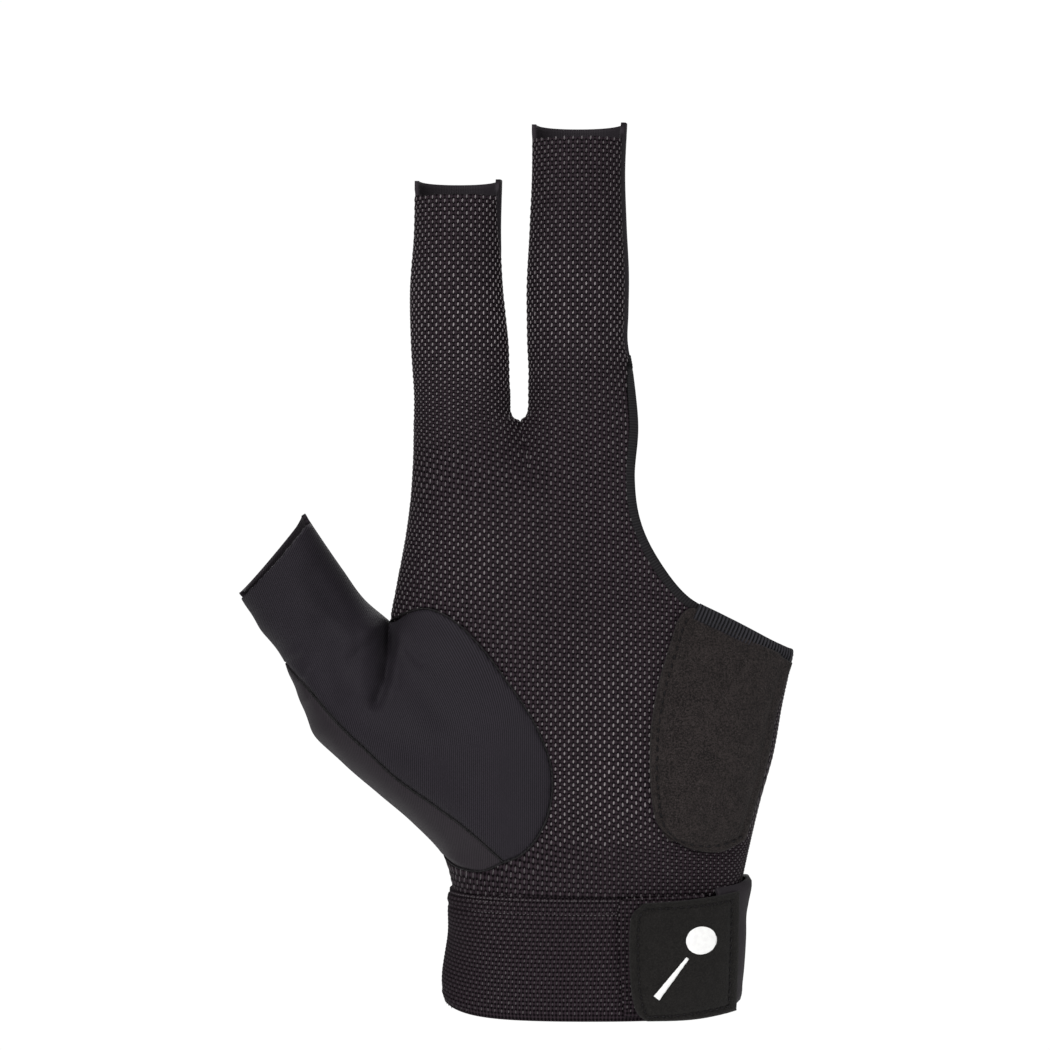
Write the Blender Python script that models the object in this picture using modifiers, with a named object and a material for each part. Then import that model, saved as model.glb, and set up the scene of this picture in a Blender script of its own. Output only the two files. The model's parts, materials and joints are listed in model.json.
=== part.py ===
"""Billiard glove for the left hand, in the form it has when worn.

Metres. Fingers point to +Z, the palm faces -Y, the thumb is at -X. The origin is the middle of the
cuff's mouth.
The tables give shares of the named sizes in percent: x and z in the plane of the hand, depths square to it.
"""

import bisect
import math
from collections import namedtuple

import bmesh
import bpy
from mathutils import Vector
from mathutils.bvhtree import BVHTree

# Whole glove
PALM_BREADTH = 0.087
REACH = 0.170  # cuff seam to the edge of the middle finger's opening
PALM_DEPTH = 0.030
CUFF_HEIGHT = 0.029
WRIST_BREADTH = 0.7586 * PALM_BREADTH
WRIST_DEPTH = 1.367 * PALM_DEPTH

# Cloth
CLOTH = 0.0012
SEAM_GAP = 0.0004
LAY_GAP = 0.0006  # between cloths that lie on each other
PATCH_CLOTH = 0.0011
TAB_LEATHER = 0.0014

# Worn form
THUMB_FORWARD = 0.009
FINGERS_FORWARD = 0.003
MOUTH_RISE = 0.0022
FRONT_RIM_DROP = 0.0044  # the palm side of an opening ends this much short of the back
THUMB_RIM_DROP = 0.0020

# Facets
ROW_STEPS = 2
COLUMNS = {"thumb": 8, "index": 8, "middle": 8}
FULLNESS = 2.25  # 2 makes each section an ellipse, more makes it boxier
CUFF_ROUNDNESS = 2.3
SEAM_STEP = 0.0055  # distance between the points of a seam's path
SEAM_OVERRUN = 0.004  # how far a cut runs on past the cloth's edge
RIBBON_REACH = 2 * PALM_DEPTH

# Crossings of each body row with four lines that run up the hand, and how sharply two of them fold it.
Crossing = namedtuple(
    "Crossing", "outer_x outer_z crotch_x crotch_z web_x web_z rim_x rim_z crotch_fold web_fold"
)
BODY = (
    Crossing(-36.8, 0.0, -12.1, 0.0, 13.8, 0.0, 37.9, 0.0, 0.0, 0.0),
    Crossing(-39.1, 2.8, -16.1, 3.6, 13.2, 4.2, 40.0, 3.9, 0.0, 0.0),
    Crossing(-47.1, 7.2, -24.1, 8.6, 11.5, 10.1, 42.9, 10.1, 0.0, 0.0),
    Crossing(-55.6, 10.9, -32.8, 13.6, 8.0, 16.0, 46.3, 16.3, 0.0, 0.0),
    Crossing(-64.7, 14.9, -41.4, 18.6, 4.6, 21.6, 48.6, 22.8, 0.0, 0.0),
    Crossing(-72.2, 18.9, -48.3, 23.1, 0.6, 26.9, 51.6, 29.6, 0.1, 0.0),
    Crossing(-75.7, 23.5, -52.3, 27.2, -2.3, 31.3, 42.1, 32.1, 0.3, 0.0),
    Crossing(-77.9, 26.2, -53.2, 30.4, -4.6, 34.2, 32.6, 34.6, 0.6, 0.0),
    Crossing(-79.4, 28.2, -52.8, 33.7, -6.3, 37.2, 23.3, 37.2, 1.0, 0.0),
    Crossing(0.0, 0.0, -50.6, 39.5, -9.8, 41.3, 15.9, 42.0, 1.0, 0.0),
    Crossing(0.0, 0.0, -48.7, 44.8, -12.6, 45.7, 11.4, 47.0, 1.0, 0.0),
    Crossing(0.0, 0.0, -47.4, 49.8, -15.2, 50.4, 10.0, 52.6, 1.0, 0.1),
    Crossing(0.0, 0.0, -46.7, 55.4, -17.5, 55.6, 11.0, 59.3, 1.0, 0.5),
    Crossing(0.0, 0.0, -46.6, 60.5, -19.1, 60.2, 9.9, 67.0, 1.0, 1.0),
)

# Depths of each body row in percent of the palm's depth, across the same four lines and between them.
Depth = namedtuple("Depth", "thenar crotch index web middle rim")
PALM_SIDE = (
    Depth(54, 66, 68, 65, 54, 0),
    Depth(56, 68, 68, 65, 56, 0),
    Depth(59, 69, 64, 62, 59, 0),
    Depth(61, 69, 60, 58, 60, 0),
    Depth(61, 66, 56, 54, 58, 0),
    Depth(59, 56, 52, 51, 52, 0),
    Depth(55, 44, 49, 49, 48, 36),
    Depth(51, 28, 47, 49, 48, 43),
    Depth(47, 0, 46, 49, 49, 46),
    Depth(0, 0, 46, 49, 49, 47),
    Depth(0, 0, 46, 48, 48, 46),
    Depth(0, 0, 45, 45, 46, 44),
    Depth(0, 0, 41, 31, 43, 36),
    Depth(0, 0, 36, 0, 37, 0),
)
BACK_SIDE = (
    Depth(53, 65, 67, 64, 53, 0),
    Depth(50, 60, 62, 60, 50, 0),
    Depth(46, 53, 55, 55, 48, 0),
    Depth(44, 49, 51, 51, 46, 0),
    Depth(43, 48, 50, 50, 45, 0),
    Depth(43, 46, 48, 48, 42, 0),
    Depth(41, 40, 46, 46, 43, 32),
    Depth(40, 27, 45, 46, 44, 37),
    Depth(38, 0, 44, 45, 44, 39),
    Depth(0, 0, 43, 45, 43, 40),
    Depth(0, 0, 42, 44, 42, 40),
    Depth(0, 0, 42, 41, 41, 38),
    Depth(0, 0, 38, 29, 39, 31),
    Depth(0, 0, 34, 0, 36, 0),
)

# Sleeves of the thumb and the two fingers, above the body rows.
Sleeve = namedtuple("Sleeve", "left_x left_z right_x right_z palm_side back_side")
THUMB = (
    Sleeve(-82.8, 30.9, -59.5, 36.7, 43, 37),
    Sleeve(-85.5, 32.8, -64.8, 40.6, 39, 35),
    Sleeve(-87.9, 34.8, -69.0, 43.9, 36, 33),
    Sleeve(-90.7, 37.5, -73.9, 47.9, 33, 31),
)
INDEX = (
    Sleeve(-46.6, 63.9, -21.5, 63.9, 34, 33),
    Sleeve(-47.4, 70.4, -22.0, 70.4, 33, 32),
    Sleeve(-47.6, 77.5, -23.4, 77.5, 33, 32),
    Sleeve(-46.6, 84.5, -24.0, 84.5, 31, 31),
    Sleeve(-46.3, 91.8, -23.7, 91.8, 30, 30),
)
MIDDLE = (
    Sleeve(-17.1, 65.1, 8.7, 70.7, 36, 34),
    Sleeve(-17.4, 71.0, 8.9, 74.5, 35, 34),
    Sleeve(-17.5, 78.1, 9.0, 79.8, 34, 33),
    Sleeve(-16.8, 85.1, 8.4, 86.0, 33, 32),
    Sleeve(-16.2, 92.2, 8.0, 92.8, 32, 31),
    Sleeve(-16.1, 99.2, 8.5, 99.2, 31, 31),
)

# Wrinkles and creases: a line in the plane of the hand, its half width, and its height out of the cloth.
Fold = namedtuple("Fold", "side x z to_x to_z width height")
FOLDS = (
    Fold("palm", -52.9, 33.2, -55.6, 24.5, 3.2, -9.0),
    Fold("palm", -61.5, 31.5, -57.0, 25.0, 3.4, 4.0),
    Fold("palm", -70.0, 33.0, -66.5, 24.0, 3.0, -3.0),
    Fold("palm", -48.0, 28.5, -38.0, 21.5, 4.4, -3.0),
    Fold("palm", -72.0, 39.5, -66.0, 35.5, 2.6, -2.4),
    Fold("palm", -19.2, 59.4, -15.4, 52.0, 2.8, -4.0),
    Fold("palm", -37.0, 2.5, -28.0, 1.0, 2.6, 4.0),
    Fold("palm", -2.0, 8.0, -2.0, 34.0, 9.0, -6.0),
    Fold("back", -50.0, 33.0, -46.0, 22.0, 4.0, -6.0),
    Fold("back", -18.8, 59.0, -12.0, 48.0, 4.0, -5.0),
    Fold("back", -60.0, 16.0, -34.0, 3.0, 4.0, 3.0),
    Fold("back", 30.0, 3.0, 42.0, 12.0, 4.0, 3.0),
    Fold("back", -40.0, 46.0, 4.0, 46.5, 4.0, 3.5),
)

# Seams of the palm side and outlines of the pieces laid on it, as points in the plane of the hand.
Point = namedtuple("Point", "x z")
THUMB_SEAM = (
    Point(-79.4, 28.2), Point(-73.6, 25.4), Point(-65.6, 20.9), Point(-57.9, 17.2),
    Point(-50.3, 13.6), Point(-40.8, 10.2), Point(-32.8, 7.2), Point(-23.2, 2.9),
)
LOBE_SEAM = (
    Point(-23.2, 2.9), Point(-19.0, 3.9), Point(-15.2, 5.9), Point(-12.4, 8.6), Point(-11.1, 11.6),
    Point(-11.1, 14.5), Point(-12.6, 17.5), Point(-16.4, 21.6), Point(-22.8, 26.4), Point(-29.1, 30.6),
    Point(-35.6, 33.8), Point(-42.0, 35.4), Point(-47.1, 35.1), Point(-52.8, 33.7), Point(-55.4, 37.4),
)
HEM_LINE = (
    Point(57.5, 26.5), Point(50.5, 28.0), Point(40.7, 30.6), Point(31.3, 33.2), Point(21.5, 35.8),
    Point(13.3, 40.9), Point(8.4, 46.6), Point(7.0, 52.5), Point(7.8, 59.1), Point(7.6, 64.6),
    Point(8.2, 67.9), Point(9.6, 69.0), Point(14.4, 70.6),
)
HEM_JOINT = (Point(25.3, 34.3), Point(28.8, 38.6))
THUMB_BASE = Point(-62.0, 28.0)
THUMB_TIP = Point(-82.3, 42.7)
STRIP_FOOT = (Point(-23.2, 2.9), Point(-28.3, 1.7), Point(-34.3, 1.8), Point(-39.1, 2.8))
PATCH_LEFT = (
    Point(19.5, 5.8), Point(15.2, 8.1), Point(13.9, 12.2), Point(13.7, 16.9),
    Point(14.4, 21.6), Point(16.1, 26.3), Point(19.2, 30.8), Point(22.2, 35.1),
)
PATCH_FOOT = (Point(19.5, 5.8), Point(24.1, 4.6), Point(31.0, 4.2), Point(37.3, 5.6))
PATCH_RIGHT = (Point(37.3, 5.6), Point(40.0, 10.3), Point(43.2, 16.3), Point(45.6, 22.5), Point(47.4, 27.6))
PATCH_TOP = (Point(22.2, 35.1), Point(31.0, 32.7), Point(40.0, 29.9), Point(47.4, 27.6))

# A spot on each piece that is cut from the shell.
Piece = namedtuple("Piece", "name side x z")
PIECES = (
    Piece("palm_mesh", "palm", -10.0, 42.0),
    Piece("thumb_panel", "palm", -32.0, 20.0),
    Piece("back_panel", "back", 0.0, 30.0),
    Piece("cutout_hem", "palm", 9.3, 50.0),
    Piece("patch_hem", "palm", 36.6, 32.6),
    Piece("back_hem", "back", 9.3, 50.0),
)

# Cuff: edges of its tube at each height in percent of the cuff, in percent of the wrist.
Ring = namedtuple("Ring", "z left right depth")
CUFF = (
    Ring(0.0, -50.3, 46.2, 98),
    Ring(14.0, -51.5, 47.6, 100),
    Ring(38.0, -51.4, 48.6, 101),
    Ring(64.0, -50.3, 49.2, 101),
    Ring(86.0, -49.4, 49.4, 100),
    Ring(100.0, -48.6, 49.2, 99),
)

# Outlines of the closure in percent of the wrist and of the cuff's height.
TAB_LEFT = (
    Point(16.0, 2.6), Point(12.7, 9.0), Point(11.0, 24.0), Point(10.4, 46.0), Point(10.4, 68.0),
    Point(11.4, 82.0), Point(15.4, 89.8),
)
TAB_FOOT = (Point(16.0, 2.6), Point(30.0, 2.4), Point(43.4, 5.4))
TAB_RIGHT = (Point(43.4, 5.4), Point(44.2, 50.0), Point(44.6, 95.0))
TAB_TOP = (Point(15.4, 89.8), Point(30.0, 91.6), Point(44.6, 95.0))
LOOP_LEFT = (Point(9.0, 4.0), Point(7.6, 48.0), Point(7.2, 93.0))
LOOP_FOOT = (Point(9.0, 4.0), Point(22.0, 5.4), Point(35.0, 6.4))
LOOP_RIGHT = (Point(35.0, 6.4), Point(35.2, 50.0), Point(35.4, 94.0))
LOOP_TOP = (Point(7.2, 93.0), Point(22.0, 93.6), Point(35.4, 94.0))
STRAP_FRONT_ANGLE = -0.71  # radians round the cuff from its right edge, palm side negative
STRAP_BACK_ANGLE = 1.30
STRAP_FOOT = 0.05  # share of the cuff's height
STRAP_TOP = 0.985


def clear_scene():
    for thing in list(bpy.data.objects):
        bpy.data.objects.remove(thing, do_unlink=True)
    for mesh in list(bpy.data.meshes):
        bpy.data.meshes.remove(mesh)


def plane(x, z):
    """Percent of the palm's breadth and of the reach above the cuff, to metres."""
    return PALM_BREADTH * x / 100, CUFF_HEIGHT + LAY_GAP + REACH * z / 100


def hermite(a, b, slope_a, slope_b, t):
    """Cubic from a to b over t = 0..1, with its slopes given per unit of t."""
    return (
        a * (2 * t**3 - 3 * t**2 + 1)
        + slope_a * (t**3 - 2 * t**2 + t)
        + b * (3 * t**2 - 2 * t**3)
        + slope_b * (t**3 - t**2)
    )


def along(values, at, corners=()):
    """Smooth curve through values at 0, 1, 2…, with a corner where the list says so."""
    last = len(values) - 1
    i = min(int(at), last - 1)

    def slope(k, side):
        if k in corners or k in (0, last):
            k_next = min(max(k + side, 0), last)
            k_next = k_next if k_next != k else k - side
            return (values[k_next] - values[k]) / (k_next - k)
        return (values[k + 1] - values[k - 1]) / 2

    return hermite(values[i], values[i + 1], slope(i, 1), slope(i + 1, -1), at - i)


class Strip:
    """A band of the glove that runs from the cuff seam up one sleeve, between two of the four lines."""

    def __init__(self, name, left, right, body_rows, sleeve, left_corners, right_corners):
        self.name = name
        self.count = body_rows + len(sleeve)
        self.body_rows = body_rows
        self.corners = {"left": left_corners, "right": right_corners}
        body = BODY[:body_rows]
        self.left = [plane(getattr(r, left + "_x"), getattr(r, left + "_z")) for r in body]
        self.right = [plane(getattr(r, right + "_x"), getattr(r, right + "_z")) for r in body]
        self.left += [plane(s.left_x, s.left_z) for s in sleeve]
        self.right += [plane(s.right_x, s.right_z) for s in sleeve]
        middle = {"thumb": "thenar", "index": "index", "middle": "middle"}[name]
        self.squares = {}
        for side, table in (("palm", PALM_SIDE), ("back", BACK_SIDE)):
            rows = [self.square(row, left, middle, right) for row in table[:body_rows]]
            rows += [(0.0, (PALM_DEPTH * getattr(s, side + "_side") / 100) ** 2, 0.0) for s in sleeve]
            self.squares[side] = rows
        fold = {"outer": lambda r: 1.0, "rim": lambda r: 1.0}
        fold["crotch"] = lambda r: r.crotch_fold
        fold["web"] = lambda r: r.web_fold
        self.left_fold = [fold[left](r) for r in body] + [1.0] * len(sleeve)
        self.right_fold = [fold[right](r) for r in body] + [1.0] * len(sleeve)

    @staticmethod
    def square(row, left, middle, right):
        depths = [getattr(row, name, 0.0) for name in (left, middle, right)]
        return tuple((PALM_DEPTH * depth / 100) ** 2 for depth in depths)

    def edge(self, which, v):
        points = getattr(self, which)
        corners = self.corners[which]
        x = along([p[0] for p in points], v, corners)
        z = along([p[1] for p in points], v, corners)
        return x, z

    def breadth(self, v):
        (x0, z0), (x1, z1) = self.edge("left", v), self.edge("right", v)
        return math.hypot(x1 - x0, z1 - z0)

    def heights(self, side, v):
        """Squared depths of the left edge, the middle and the right edge."""
        rows = self.squares[side]
        left = along([r[0] for r in rows], v, self.corners["left"])
        middle = along([r[1] for r in rows], v)
        right = along([r[2] for r in rows], v, self.corners["right"])
        return max(left, 0.0), middle, max(right, 0.0)

    def fold(self, which, v):
        return min(max(along(getattr(self, which + "_fold"), v), 0.0), 1.0)


def strips():
    return {
        "thumb": Strip("thumb", "outer", "crotch", 9, THUMB, (), (8,)),
        "index": Strip("index", "crotch", "web", 14, INDEX, (8,), (13,)),
        "middle": Strip("middle", "web", "rim", 14, MIDDLE, (13,), (5, 13)),
    }


NEIGHBOURS = {"thumb": (None, "index"), "index": ("thumb", "middle"), "middle": ("index", None)}


def edge_slopes(bands, name, side, v):
    """Slopes of the squared depth at a band's edges: smooth into the neighbour, or folded over the edge."""
    band = bands[name]
    left, middle, right = band.heights(side, v)
    slopes = []
    for which, height, neighbour, sign in (
        ("left", left, NEIGHBOURS[name][0], 1),
        ("right", right, NEIGHBOURS[name][1], -1),
    ):
        folded = sign * FULLNESS * 2 * (middle - height)
        share = band.fold(which, v)
        smooth = 0.0
        if neighbour and share < 1 and v <= bands[neighbour].count - 1:
            other = bands[neighbour]
            run = (band.breadth(v) + other.breadth(v)) / 2
            smooth = sign * (middle - other.heights(side, v)[1]) / run * band.breadth(v)
        slopes.append(share * folded + (1 - share) * smooth)
    return slopes


def bunched(share, left_pull, right_pull):
    """Moves a column's share of the breadth toward an edge where the cloth turns over."""
    mirrored = share > 0.5
    half = 2 * (1 - share if mirrored else share)
    pull = right_pull if mirrored else left_pull
    moved = (half + pull * (1 - math.cos(math.pi * half / 2) - half)) / 2
    return 1 - moved if mirrored else moved


def depth_at(bands, name, side, v, share):
    """Squared depth at a share of the breadth."""
    left, middle, right = bands[name].heights(side, v)
    slope_left, slope_right = edge_slopes(bands, name, side, v)
    centre = right - left
    if share <= 0.5:
        value = hermite(left, middle, slope_left / 2, centre / 2, share * 2)
    else:
        value = hermite(middle, right, centre / 2, slope_right / 2, share * 2 - 1)
    return max(value, 0.0)


def fold_offset(side, x, z, depth):
    """Height of the wrinkles at a point, fading out toward the seams."""
    total = 0.0
    for fold in FOLDS:
        if fold.side != side:
            continue
        (x0, z0), (x1, z1) = plane(fold.x, fold.z), plane(fold.to_x, fold.to_z)
        run = (x1 - x0) ** 2 + (z1 - z0) ** 2
        t = min(max(((x - x0) * (x1 - x0) + (z - z0) * (z1 - z0)) / run, 0.0), 1.0)
        away = math.hypot(x - x0 - t * (x1 - x0), z - z0 - t * (z1 - z0))
        fall = away / (PALM_BREADTH * fold.width / 100)
        total += PALM_DEPTH * fold.height / 100 * math.exp(-fall * fall)
    return total * min(1.0, depth / (PALM_DEPTH * 0.25))


def cloth_point(bands, name, side, v, share):
    """Point of the glove's outer surface, before the hand's lean."""
    band = bands[name]
    (x0, z0), (x1, z1) = band.edge("left", v), band.edge("right", v)
    x, z = x0 + (x1 - x0) * share, z0 + (z1 - z0) * share
    depth = math.sqrt(depth_at(bands, name, side, v, share))
    depth += fold_offset(side, x, z, depth)
    return Vector((x, depth if side == "back" else -depth, z))


def lean(point):
    """Forward lean of the thumb and the fingers, which moves a point along Y only."""
    base_x, base_z = plane(*THUMB_BASE)
    tip_x, tip_z = plane(*THUMB_TIP)
    run_x, run_z = tip_x - base_x, tip_z - base_z
    t = ((point.x - base_x) * run_x + (point.z - base_z) * run_z) / (run_x**2 + run_z**2)
    t = min(max((t + 0.3) / 1.3, 0.0), 1.3)
    side = min(max((plane(-50.5, 0)[0] - point.x) / (PALM_BREADTH * 0.24), 0.0), 1.0)
    side = side * side * (3 - 2 * side)
    up = max(point.z - plane(0, 45.0)[1], 0.0) / (REACH * 0.55)
    return -THUMB_FORWARD * t * t * (1.5 - 0.5 * t) * side - FINGERS_FORWARD * up * up


def make_mesh(name, points, faces):
    mesh = bpy.data.meshes.new(name)
    mesh.from_pydata([tuple(p) for p in points], [], faces)
    mesh.validate()
    return mesh


def add_object(name, mesh, collection):
    thing = bpy.data.objects.new(name, mesh)
    collection.objects.link(thing)
    return thing


def whole_shell(steps, columns):
    """Outer surface of palm side, back and sleeves as one welded mesh, faces outward."""
    bands = strips()
    points, faces = [], []
    for name, band in bands.items():
        count = (band.count - 1) * steps
        for side in ("palm", "back"):
            start = len(points)
            for i in range(count + 1):
                v = i / steps
                left, middle, right = band.heights(side, v)
                pulls = (
                    band.fold("left", v) * (1 - left / middle),
                    band.fold("right", v) * (1 - right / middle),
                )
                for j in range(columns[name] + 1):
                    share = bunched(j / columns[name], max(pulls[0], 0.0), max(pulls[1], 0.0))
                    points.append(cloth_point(bands, name, side, v, share))
            wide = columns[name] + 1
            for i in range(count):
                for j in range(columns[name]):
                    a = start + i * wide + j
                    quad = (a, a + 1, a + wide + 1, a + wide)
                    faces.append(quad if side == "palm" else quad[::-1])
    shell = bmesh.new()
    for point in points:
        shell.verts.new(point)
    shell.verts.ensure_lookup_table()
    for face in faces:
        shell.faces.new([shell.verts[k] for k in face])
    bmesh.ops.remove_doubles(shell, verts=shell.verts, dist=PALM_BREADTH * 1e-4)
    bmesh.ops.triangulate(shell, faces=shell.faces, quad_method="SHORT_EDGE")
    mesh = bpy.data.meshes.new("shell")
    shell.to_mesh(mesh)
    shell.free()
    return mesh


def smooth_path(points):
    """Curve through points of the plane, at about one point a step."""
    out = []
    for i in range(len(points) - 1):
        length = math.hypot(points[i + 1][0] - points[i][0], points[i + 1][1] - points[i][1])
        pieces = max(1, round(length / SEAM_STEP))
        for k in range(pieces):
            at = i + k / pieces
            out.append((along([p[0] for p in points], at), along([p[1] for p in points], at)))
    out.append(tuple(points[-1]))
    return out


def ribbon(name, path, front, back, collection):
    """Thin upright wall along a path of the plane, as wide as a seam's gap, for cutting one."""
    points = []
    for i, (x, z) in enumerate(path):
        before, after = path[max(i - 1, 0)], path[min(i + 1, len(path) - 1)]
        run_x, run_z = after[0] - before[0], after[1] - before[1]
        length = math.hypot(run_x, run_z)
        side_x, side_z = -run_z / length * SEAM_GAP / 2, run_x / length * SEAM_GAP / 2
        for y in (front, back):
            points.append((x - side_x, y, z - side_z))
            points.append((x + side_x, y, z + side_z))
    faces = []
    for i in range(len(path) - 1):
        a, b = 4 * i, 4 * i + 4
        faces += [(a, a + 1, b + 1, b), (a + 2, b + 2, b + 3, a + 3)]
        faces += [(a, b, b + 2, a + 2), (a + 1, a + 3, b + 3, b + 1)]
    last = 4 * (len(path) - 1)
    faces += [(0, 2, 3, 1), (last, last + 1, last + 3, last + 2)]
    return closed_object(name, points, faces, collection)


def closed_object(name, points, faces, collection):
    thing = add_object(name, make_mesh(name, points, faces), collection)
    work = bmesh.new()
    work.from_mesh(thing.data)
    bmesh.ops.recalc_face_normals(work, faces=work.faces)
    work.to_mesh(thing.data)
    work.free()
    return thing


def prism(name, outline, front, back, collection):
    """Flat plate with an outline in the plane of the hand."""
    n = len(outline)
    points = [(x, front, z) for x, z in outline] + [(x, back, z) for x, z in outline]
    faces = [tuple(range(n)), tuple(range(2 * n - 1, n - 1, -1))]
    faces += [(i, (i + 1) % n, n + (i + 1) % n, n + i) for i in range(n)]
    return closed_object(name, points, faces, collection)


def cut(thing, cutters):
    for cutter in cutters:
        cutter.hide_render = True
        cutter.display_type = "WIRE"
        step = thing.modifiers.new("Cut " + cutter.name, "BOOLEAN")
        step.operation = "DIFFERENCE"
        step.solver = "EXACT"
        step.object = cutter


def applied(thing):
    bpy.context.view_layer.update()
    graph = bpy.context.evaluated_depsgraph_get()
    return bpy.data.meshes.new_from_object(thing.evaluated_get(graph))


def islands(mesh):
    """Splits a mesh into its loose bodies."""
    whole = bmesh.new()
    whole.from_mesh(mesh)
    bmesh.ops.triangulate(whole, faces=whole.faces, quad_method="SHORT_EDGE", ngon_method="BEAUTY")
    left, bodies = set(whole.faces), []
    while left:
        group, front = set(), [next(iter(left))]
        while front:
            face = front.pop()
            if face in group:
                continue
            group.add(face)
            front += [f for edge in face.edges for f in edge.link_faces if f not in group]
        left -= group
        index, points, faces = {}, [], []
        for face in group:
            for vert in face.verts:
                if vert not in index:
                    index[vert] = len(points)
                    points.append(vert.co.copy())
            faces.append([index[v] for v in face.verts])
        bodies.append((points, faces))
    whole.free()
    return bodies


def in_plane(points):
    return [plane(p.x, p.z) for p in points]


def outward(path, at_start):
    """Path with one more point beyond its start or its end."""
    a, b = (path[1], path[0]) if at_start else (path[-2], path[-1])
    share = SEAM_OVERRUN / math.hypot(b[0] - a[0], b[1] - a[1])
    more = (b[0] + (b[0] - a[0]) * share, b[1] + (b[1] - a[1]) * share)
    return [more] + path if at_start else path + [more]


def panel_cutters(collection):
    """Cutters for the side seams, the palm side's seams and the shorter palm-side rims."""
    seam = smooth_path(outward(in_plane(THUMB_SEAM), True))
    foot = smooth_path(outward(in_plane(STRIP_FOOT), False))
    lobe = smooth_path(in_plane(LOBE_SEAM))
    hem = smooth_path(in_plane(HEM_LINE))
    joint = in_plane(HEM_JOINT)
    depth = SEAM_GAP / 3
    cutters = [
        ribbon("thumb_seam_cutter", seam, -RIBBON_REACH, depth, collection),
        ribbon("strip_foot_cutter", foot, -RIBBON_REACH, depth, collection),
        ribbon("lobe_seam_cutter", lobe, -RIBBON_REACH, depth, collection),
        ribbon("hem_cutter", hem, -RIBBON_REACH, RIBBON_REACH, collection),
        ribbon("hem_joint_cutter", joint, -RIBBON_REACH, depth, collection),
    ]
    outline = seam + foot[1:]
    low_z = plane(0, -6.0)[1]
    far_x, far_z = plane(75.0, 115.0)
    outline += [(foot[-1][0], low_z), (far_x, low_z), (far_x, far_z), (plane(-120, 0)[0], far_z)]
    outline += [(plane(-120, 0)[0], seam[0][1])]
    cutters.append(prism("side_seam_cutter", outline, -SEAM_GAP / 2, SEAM_GAP / 2, collection))
    for name, sleeve, drop in (
        ("thumb", THUMB, THUMB_RIM_DROP),
        ("index", INDEX, FRONT_RIM_DROP),
        ("middle", MIDDLE, FRONT_RIM_DROP),
    ):
        cutters.append(rim_cutter(name + "_rim_cutter", sleeve[-1], drop, collection))
    return cutters


def rim_cutter(name, rim, drop, collection):
    """Block that shortens the palm side of one opening."""
    (x0, z0), (x1, z1) = plane(rim.left_x, rim.left_z), plane(rim.right_x, rim.right_z)
    length = math.hypot(x1 - x0, z1 - z0)
    run_x, run_z = (x1 - x0) / length, (z1 - z0) / length
    up_x, up_z = -run_z, run_x
    start, end = -SEAM_OVERRUN / 4, length + SEAM_OVERRUN / 4
    outline = []
    for run, level in ((start, -drop), (end, -drop), (end, SEAM_OVERRUN), (start, SEAM_OVERRUN)):
        outline.append((x0 + run_x * run + up_x * level, z0 + run_z * run + up_z * level))
    return prism(name, outline, -RIBBON_REACH, SEAM_GAP / 3, collection)


def panels(tree, collection, cutters):
    """Panels and hems from one shell cut along its seams, each found by a spot on it."""
    shell = add_object("whole_shell", whole_shell(ROW_STEPS, COLUMNS), cutters)
    shell.hide_render = True
    shell.display_type = "WIRE"
    wall = shell.modifiers.new("Cloth", "SOLIDIFY")
    wall.thickness = CLOTH
    wall.offset = -1
    cut(shell, panel_cutters(cutters))
    bodies = islands(applied(shell))
    for piece in PIECES:
        x, z = plane(piece.x, piece.z)
        place = laid_point(tree, x, z, 0.0, 1 if piece.side == "back" else -1)
        away = [BVHTree.FromPolygons(*body).find_nearest(place)[3] for body in bodies]
        points, faces = bodies[away.index(min(away))]
        add_object(piece.name, make_mesh(piece.name, points, faces), collection)


def tree_of(mesh):
    work = bmesh.new()
    work.from_mesh(mesh)
    tree = BVHTree.FromBMesh(work)
    work.free()
    return tree


def laid_point(tree, x, z, offset, side=-1):
    """Point at an offset outside a surface, on its palm side, or on its back with side 1."""
    place, normal, _, _ = tree.ray_cast(Vector((x, side * RIBBON_REACH, z)), Vector((0, -side, 0)))
    if place is None:
        place, normal, _, _ = tree.find_nearest(Vector((x, 0, z)))
    if normal.y * side < 0:
        normal = -normal
    return place + normal * offset


def coons(left, foot, right, top, across, up):
    """Grid of plane points between four border curves."""

    def at(curve, t):
        spot = t * (len(curve) - 1)
        return along([p[0] for p in curve], spot), along([p[1] for p in curve], spot)

    grid = []
    for i in range(up + 1):
        t = i / up
        row = []
        for j in range(across + 1):
            s = j / across
            borders = ((1 - s, at(left, t)), (s, at(right, t)), (1 - t, at(foot, s)), (t, at(top, s)))
            corners = (
                ((1 - s) * (1 - t), foot[0]),
                (s * (1 - t), foot[-1]),
                ((1 - s) * t, top[0]),
                (s * t, top[-1]),
            )
            row.append(tuple(
                sum(w * p[k] for w, p in borders) - sum(w * p[k] for w, p in corners) for k in (0, 1)
            ))
        grid.append(row)
    return grid


def double_sheet(name, outer, inner, collection):
    """Closed body between two grids of points."""
    rows, wide = len(outer), len(outer[0])
    size = rows * wide
    points = [p for row in outer for p in row] + [p for row in inner for p in row]
    faces = []
    for i in range(rows - 1):
        for j in range(wide - 1):
            a = i * wide + j
            faces.append((a, a + 1, a + wide + 1, a + wide))
            faces.append((size + a, size + a + wide, size + a + wide + 1, size + a + 1))
    border = list(range(wide)) + [i * wide + wide - 1 for i in range(1, rows)]
    border += [(rows - 1) * wide + j for j in range(wide - 2, -1, -1)]
    border += [i * wide for i in range(rows - 2, 0, -1)]
    for k, a in enumerate(border):
        b = border[(k + 1) % len(border)]
        faces.append((b, a, size + a, size + b))
    return closed_object(name, points, faces, collection)


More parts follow.
